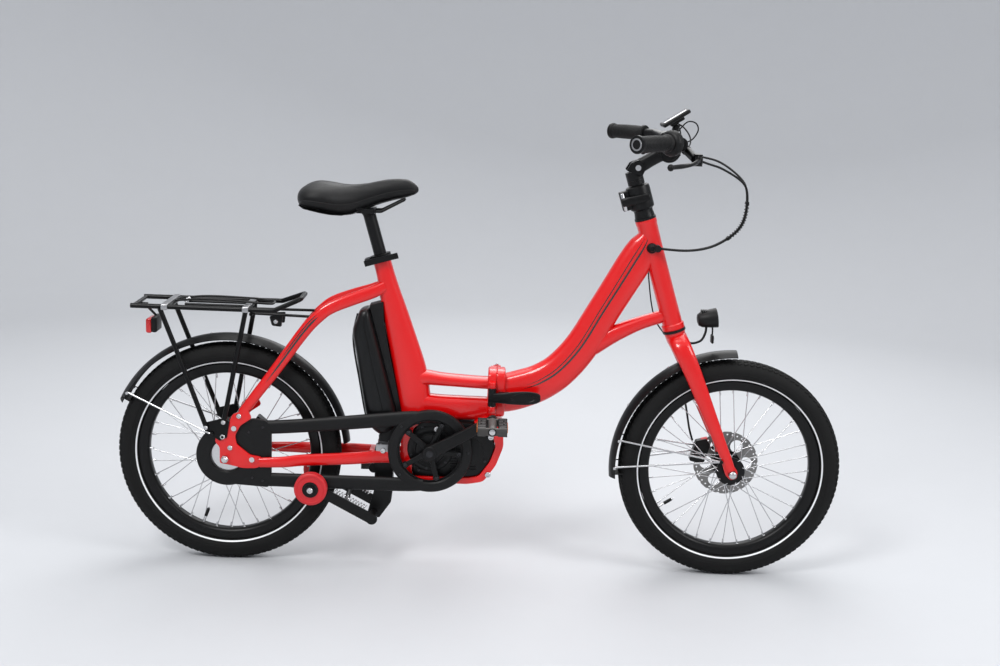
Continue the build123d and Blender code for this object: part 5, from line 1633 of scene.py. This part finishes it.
class BICYCLE_OT_grips(bpy.types.Operator):
    """Rubber grips with ribs, ring caps and the twist shifter"""

    bl_idname = "bicycle.grips"
    bl_label = "Grips and shifter"

    def execute(self, context):
        shape = Shape()
        for flank in SIDES:
            axis = on_bar(1, flank) - on_bar(0, flank)
            profile = [(29.5, 11.3), (29.5, 17), (31, 18.6), (36, 18.8), (38, 17.6)]
            for n in range(19):
                at = 40 + n * 4.6
                swell = 0.9 * math.sin(math.pi * n / 18)
                profile += [(at, 15.8 + swell), (at + 0.7, 16.4 + swell), (at + 2.7, 16.4 + swell),
                            (at + 3.4, 15.8 + swell)]
            profile += [(127, 17.2), (128, 18), (135, 18), (136, 17.2), (136.4, 8)]
            shape.turned(on_bar(0, flank), axis, profile, grip_rubber(), 40)
            shape.turned(on_bar(0, flank), axis,
                         [(132, 18.3), (132.6, 18.9), (136.4, 18.9), (137, 18.2), (137.4, 9)],
                         satin_black(), 40)
            shape.turned(on_bar(0, flank), axis, [(137.2, 9.5), (138, 9.8), (138, 12.6), (137.2, 13)],
                         alloy_grey(), 40, loop=True)
        shape.make("bar_grips", "handlebar", ["grips"], "grip_rubber")
        drum = Shape()
        axis = on_bar(1, 1) - on_bar(0, 1)
        drum.turned(on_bar(0, 1), axis,
                    [(9.6, 11.4), (9.6, 24), (10.6, 26.4), (14, 27), (22, 27), (26, 25), (28.8, 20),
                     (29.1, 11.4)], black_plastic(), 56, loop=True)
        side = axis.orthogonal().normalized()
        other = axis.normalized().cross(side)
        for n in range(24):
            turn = math.tau * n / 24
            radial = side * math.cos(turn) + other * math.sin(turn)
            drum.block(on_bar(18, 1) + radial * 0.0267, axis, radial, (8, 2.6, 1.6), grip_rubber(), 0.5)
        drum.make("shift_drum", "shifter", ["shifter"], "black_plastic")
        return {"FINISHED"}


class BICYCLE_OT_controls(bpy.types.Operator):
    """Display, brake master cylinders, levers and their short cables"""

    bl_idname = "bicycle.controls"
    bl_label = "Controls"

    def execute(self, context):
        black, plastic = satin_black(), black_plastic()
        shape = Shape()
        slope = (spot(1019, 1076) - spot(960, 1038)).normalized()
        rise = Vector((-slope.z, 0, slope.x))
        centre = spot(988, 1060)
        shape.block(centre, slope, rise, (68, 66, 9), plastic, 3.2)
        shape.block(centre + rise * 0.0044, slope, rise, (56, 54, 1.4), dark_glass(), 0.6)
        shape.block(centre - rise * 0.008, slope, rise, (34, 26, 9), plastic, 2)
        shape.tube([(spot(981, 1006), 8, 13), (spot(986, 1024), 6.5, 12), (spot(993, 1046), 7.5, 12.5)],
                   plastic, count=20, power=3)
        for out in (-14, 6):
            shape.turned(spot(978, 987, out), right(1),
                         [(0, 11.4), (0, 25), (1, 26), (7, 26), (8, 25), (8, 11.4)], plastic, 36)
        for flank in SIDES:
            shape.wire([spot(1000, 997, flank * 121), spot(1007, 989, flank * 142),
                        spot(1014, 981, flank * 166)], 9.4, black, 22)
            shape.turned(spot(999, 998, flank * 118),
                         (spot(1012, 980, flank * 164) - spot(1002, 996, flank * 122)),
                         [(-3, 4), (-2, 8), (0, 10.6), (6, 10.8), (8, 9.4)], plastic, 28)
            shape.wire([spot(986, 1008, flank * 131), spot(985, 1009, flank * 141),
                        spot(984, 1010, flank * 151)], 15, black, 26)
            ear = spot(1020, 980, flank * 181)
            for level in SIDES:
                shape.block(spot(1018, 980 + level * 11, flank * 171), ACROSS, UP, (36, 17, 3), black, 1)
            shape.turned(ear - Vector((0, 0, 0.0122)), UP, [(0, 1), (0, 3), (24.4, 3), (24.4, 1)],
                         bright_steel(), 16)
        shape.make("bar_controls", "handlebar", ["controls"], "black_plastic")
        for flank, name in ((1, "right"), (-1, "left")):
            lever = Shape()
            hub = spot(1020, 980, flank * 181)
            lever.turned(hub - Vector((0, 0, 0.009)), UP,
                         [(0, 3.2), (0, 7.4), (0.8, 8), (17.2, 8), (18, 7.4), (18, 3.2)], black, 28)
            lever.tube([(hub, 6, 5.6), (spot(1014, 977.5, flank * 198), 5.6, 4.4),
                        (spot(1004, 974, flank * 218), 5.4, 4),
                        (spot(984, 971, flank * 238), 5.4, 3.8), (spot(963, 969, flank * 256), 5.2, 3.8),
                        (spot(950, 968, flank * 268), 5, 4)],
                       black, across=Vector((0.7, flank * 0.7, 0)), count=20, power=2.4)
            lever.turned(spot(950, 968, flank * 268) - Vector((0, 0, 0.0074)), UP,
                         [(0, 0.8), (0.9, 3.6), (3, 5.9), (7.4, 7.4), (11.8, 5.9), (13.9, 3.6),
                          (14.8, 0.8)], black, 24)
            lever.make("brake_blade_" + name, "brake_lever_" + name, ["brake_lever_" + name], "black_metal")
        cable = Shape()
        thin = sizes().cable_radius / MM
        cable.wire([spot(994.9, 1011.4, -60), spot(1010, 1036, -60), spot(1026, 1051, -58),
                    spot(1043, 1048, -56),
                    spot(1049, 1033, -55), spot(1038, 1013, -54), spot(1020, 1004, -52),
                    spot(1000, 1003, -46)], thin, grip_rubber())
        cable.wire([spot(990, 1050, 12), spot(1006, 1040, 22), spot(1018, 1022, 36), spot(1016, 1006, 60),
                    spot(1004, 1004, 96), spot(994, 1010, 126)], thin, grip_rubber())
        cable.wire([spot(990, 1050, -12), spot(1002, 1036, -24), spot(1008, 1018, -44),
                    spot(1000, 1010, -78), spot(990, 1010, -128)], thin, grip_rubber())
        cable.make("control_cables", "handlebar", (), "grip_rubber")
        return {"FINISHED"}


HOSE_GAP = 6.4
LOWER = ((970.5, 771, 38.2), (1008, 768, 41), (1052, 771, 42.5), (1094, 784, 44), (1116, 801, 47))
MIDDLE = ((1116, 801, 47), (1136.7, 817, 49.8), (1151.5, 852, 54), (1151, 880, 58))
UPPER_RIGHT = ((1151, 880, 58), (1150.5, 908, 62), (1134, 932, 72), (1108, 946, 88))
BAR_RIGHT = ((1108, 946, 88), (1082, 960, 104), (1054, 968, 124), (1034, 974, 136), (1020, 980.5, 139))
UPPER_LEFT = ((1151, 880, 51.6), (1150.5, 908, 55.6), (1140, 934, 40), (1120, 950, 14))
BAR_LEFT = ((1120, 950, 14), (1100, 966, -12), (1070, 972, -56), (1036, 974, -112), (1020, 980.5, -137))


class BICYCLE_OT_hoses(bpy.types.Operator):
    """Brake hoses in pairs along fixed routes that cross from one body to the next, with ties and a spiral
    wrap
    """

    bl_idname = "bicycle.hoses"
    bl_label = "Hoses"

    def line(self, points, radius):
        """A hose on one smooth spline as a mesh, or its line as points when the radius is nought."""
        curve = bpy.data.curves.new("hose_line", "CURVE")
        curve.dimensions = "3D"
        curve.bevel_depth = radius
        curve.bevel_resolution = 3
        curve.resolution_u = 10
        curve.use_fill_caps = True
        spline = curve.splines.new("NURBS")
        spline.points.add(len(points) - 1)
        for control, point in zip(spline.points, points):
            control.co = (*spot(*point), 1)
        spline.order_u = 3
        spline.use_endpoint_u = True
        holder = placed("hose_line", curve)
        mesh = bpy.data.meshes.new_from_object(holder.evaluated_get(bpy.context.evaluated_depsgraph_get()))
        bpy.data.objects.remove(holder)
        return mesh

    def execute(self, context):
        def beside(route):
            return tuple((x, z, out - HOSE_GAP) for x, z, out in route)

        radius = sizes().hose_radius
        for name, routes, bodies in (
            ("hose_lower", (LOWER, beside(LOWER)), ("front_frame", "fork")),
            ("hose_middle", (MIDDLE, beside(MIDDLE)), ("fork", "stem_core")),
            ("hose_upper", (UPPER_RIGHT, UPPER_LEFT), ("stem_core", "stem_neck")),
            ("hose_bar", (BAR_RIGHT, BAR_LEFT), ("stem_neck", "handlebar")),
        ):
            shape = Shape()
            for route in routes:
                shape.bm.from_mesh(self.line(route, radius))
            shape.finish(grip_rubber())
            if name == "hose_middle":
                between = tuple((x, z, out - HOSE_GAP / 2) for x, z, out in MIDDLE)
                self.wrap(shape, [v.co.copy() for v in self.line(between, 0).vertices])
            if name == "hose_lower":
                self.tie(shape, spot(1116, 801, 47 - HOSE_GAP / 2),
                         spot(1094, 784, 44) - spot(1116, 801, 47))
            if name == "hose_upper":
                self.tie(shape, spot(1151, 882, 58 - HOSE_GAP / 2), UP)
            piece = shape.make(name + "_pair", None, [name], "grip_rubber")
            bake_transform(piece)
        return {"FINISHED"}

    def wrap(self, shape, line):
        """A spiral wrap wound round both hoses."""
        coil = []
        parts, step, wide, high = 4, 0.75, 0.0072, 0.0044
        for i, point in enumerate(line):
            ahead = (line[min(i + 1, len(line) - 1)] - line[max(i - 1, 0)]).normalized()
            level = (ACROSS - ahead * ACROSS.dot(ahead)).normalized()
            up = ahead.cross(level)
            for part in range(parts):
                turn = (i * parts + part) * step
                follow = point.lerp(line[min(i + 1, len(line) - 1)], part / parts)
                coil.append(follow + level * (wide * math.cos(turn)) + up * (high * math.sin(turn)))
        shape.wire(coil, 0.9, grip_rubber(), 6, 2)

    def tie(self, shape, point, ahead):
        """A black band that holds the pair together."""
        ahead = ahead.normalized()
        shape.block(point, ahead, ACROSS.cross(ahead), (7, 14, 7.6), black_plastic(), 1.6)


# ---------------------------------------------------------------- stage


# The camera's place in metres, and its turn to the side, tilt and roll in radians.
CAMERA_PLACE = (0.00592, -3.06759, 1.16074)
CAMERA_TURN = (0.0097, -0.1937, 0.0375)
FLOOR_SIDES = 96


class BICYCLE_OT_stage(bpy.types.Operator):
    """A plain pale floor, soft lights and the camera"""

    bl_idname = "bicycle.stage"
    bl_label = "Stage"

    def execute(self, context):
        floor = Shape()
        flat, bend, high = sizes().floor_radius / MM, 1500, 5200
        sweep = [(0, 20), (0, flat)] + [
            (bend * (1 - math.cos(math.radians(a))), flat + bend * math.sin(math.radians(a)))
            for a in range(6, 91, 6)]
        index = floor.finish(surface("Studio floor", tuple(colours().floor), 0.75, grain=30, depth=0.0,
                                     tone=0.02, dust=0.0, scuff=0.0))
        turns = [math.tau * n / FLOOR_SIDES for n in range(FLOOR_SIDES)]
        rows = [[floor.bm.verts.new((r * MM * math.cos(turn), r * MM * math.sin(turn), z * MM))
                 for turn in turns]
                for z, r in sweep + [(high, flat + bend)]]
        faces = [floor.bm.faces.new(list(rows[0]))]
        for a, b in zip(rows, rows[1:]):
            for n in range(FLOOR_SIDES):
                after = (n + 1) % FLOOR_SIDES
                faces.append(floor.bm.faces.new((a[n], b[n], b[after], a[after])))
        for face in faces:
            face.material_index = index
            face.smooth = True
        mesh = bpy.data.meshes.new("floor")
        floor.bm.to_mesh(mesh)
        floor.bm.free()
        mesh.materials.append(floor.finishes[0])
        ground = placed("floor", mesh)
        world = bpy.data.worlds.new("Studio")
        world.use_nodes = True
        world.node_tree.nodes["Background"].inputs["Color"].default_value = (0.95, 0.97, 1.0, 1)
        world.node_tree.nodes["Background"].inputs["Strength"].default_value = 0.7
        context.scene.world = world
        context.scene.view_settings.view_transform = "Standard"
        for name, place, size, power in (
            ("Key softbox", (-1.6, -2.6, 3.4), 1.3, 95), ("Fill softbox", (2.8, -1.6, 2.4), 1.4, 50),
            ("Top softbox", (0.0, 0.6, 3.6), 3.0, 70), ("Rear softbox", (0.6, 3.0, 2.8), 2.4, 50),
        ):
            light = bpy.data.lights.new(name, "AREA")
            light.size = size
            light.energy = power
            lamp = bpy.data.objects.new(name, light)
            lamp.location = place
            lamp.rotation_euler = (Vector((0, 0, 0.5)) - Vector(place)).to_track_quat("-Z", "Y").to_euler()
            context.scene.collection.objects.link(lamp)
        self.camera(context)
        return {"FINISHED"}

    def camera(self, context):
        """The camera, level with the bar and turned a little down and to its side."""
        yaw, pitch, roll = CAMERA_TURN
        ahead = Vector((math.sin(yaw) * math.cos(pitch), math.cos(yaw) * math.cos(pitch), math.sin(pitch)))
        level = Vector((math.cos(yaw), -math.sin(yaw), 0))
        up = level.cross(ahead)
        side = level * math.cos(roll) + up * math.sin(roll)
        top = up * math.cos(roll) - level * math.sin(roll)
        lens = bpy.data.cameras.new("Camera")
        lens.lens = sizes().lens
        lens.sensor_width = 36.0
        camera = bpy.data.objects.new("Camera", lens)
        turn = Matrix((side, top, -ahead)).transposed().to_4x4()
        camera.matrix_world = Matrix.Translation(CAMERA_PLACE) @ turn
        context.scene.collection.objects.link(camera)
        context.scene.camera = camera


OPERATORS = (
    BICYCLE_OT_stage, BICYCLE_OT_hoses, BICYCLE_OT_tyres, BICYCLE_OT_rims, BICYCLE_OT_hubs,
    BICYCLE_OT_front_frame,
    BICYCLE_OT_fold_lever, BICYCLE_OT_rear_frame, BICYCLE_OT_stays, BICYCLE_OT_fork, BICYCLE_OT_chain_case,
    BICYCLE_OT_motor,
    BICYCLE_OT_cranks, BICYCLE_OT_pedals, BICYCLE_OT_battery, BICYCLE_OT_saddle, BICYCLE_OT_fenders,
    BICYCLE_OT_rack,
    BICYCLE_OT_lamps, BICYCLE_OT_stand, BICYCLE_OT_stem, BICYCLE_OT_grips, BICYCLE_OT_controls,
)


class BICYCLE_PT_panel(bpy.types.Panel):
    """Sizes, colours and the pieces to build"""

    bl_idname = "BICYCLE_PT_panel"
    bl_label = "Folding electric bicycle"
    bl_space_type = "VIEW_3D"
    bl_region_type = "UI"
    bl_category = "Bicycle"

    def draw(self, context):
        for settings in (context.scene.bicycle_sizes, context.scene.bicycle_colours):
            box = self.layout.box()
            for name in settings.__annotations__:
                box.prop(settings, name)
        for operator in OPERATORS:
            self.layout.operator(operator.bl_idname)


CLASSES = (BicycleSizes, BicycleColours, *OPERATORS, BICYCLE_PT_panel)


def register():
    """Adds the settings, operators and panel."""
    for cls in CLASSES:
        bpy.utils.register_class(cls)
    bpy.types.Scene.bicycle_sizes = bpy.props.PointerProperty(type=BicycleSizes)
    bpy.types.Scene.bicycle_colours = bpy.props.PointerProperty(type=BicycleColours)


def unregister():
    """Takes them away again."""
    del bpy.types.Scene.bicycle_colours
    del bpy.types.Scene.bicycle_sizes
    for cls in reversed(CLASSES):
        bpy.utils.unregister_class(cls)


def main():
    """Builds every piece in order."""
    register()
    for operator in OPERATORS:
        group, name = operator.bl_idname.split(".")
        getattr(getattr(bpy.ops, group), name)()


if __name__ == "__main__":
    main()
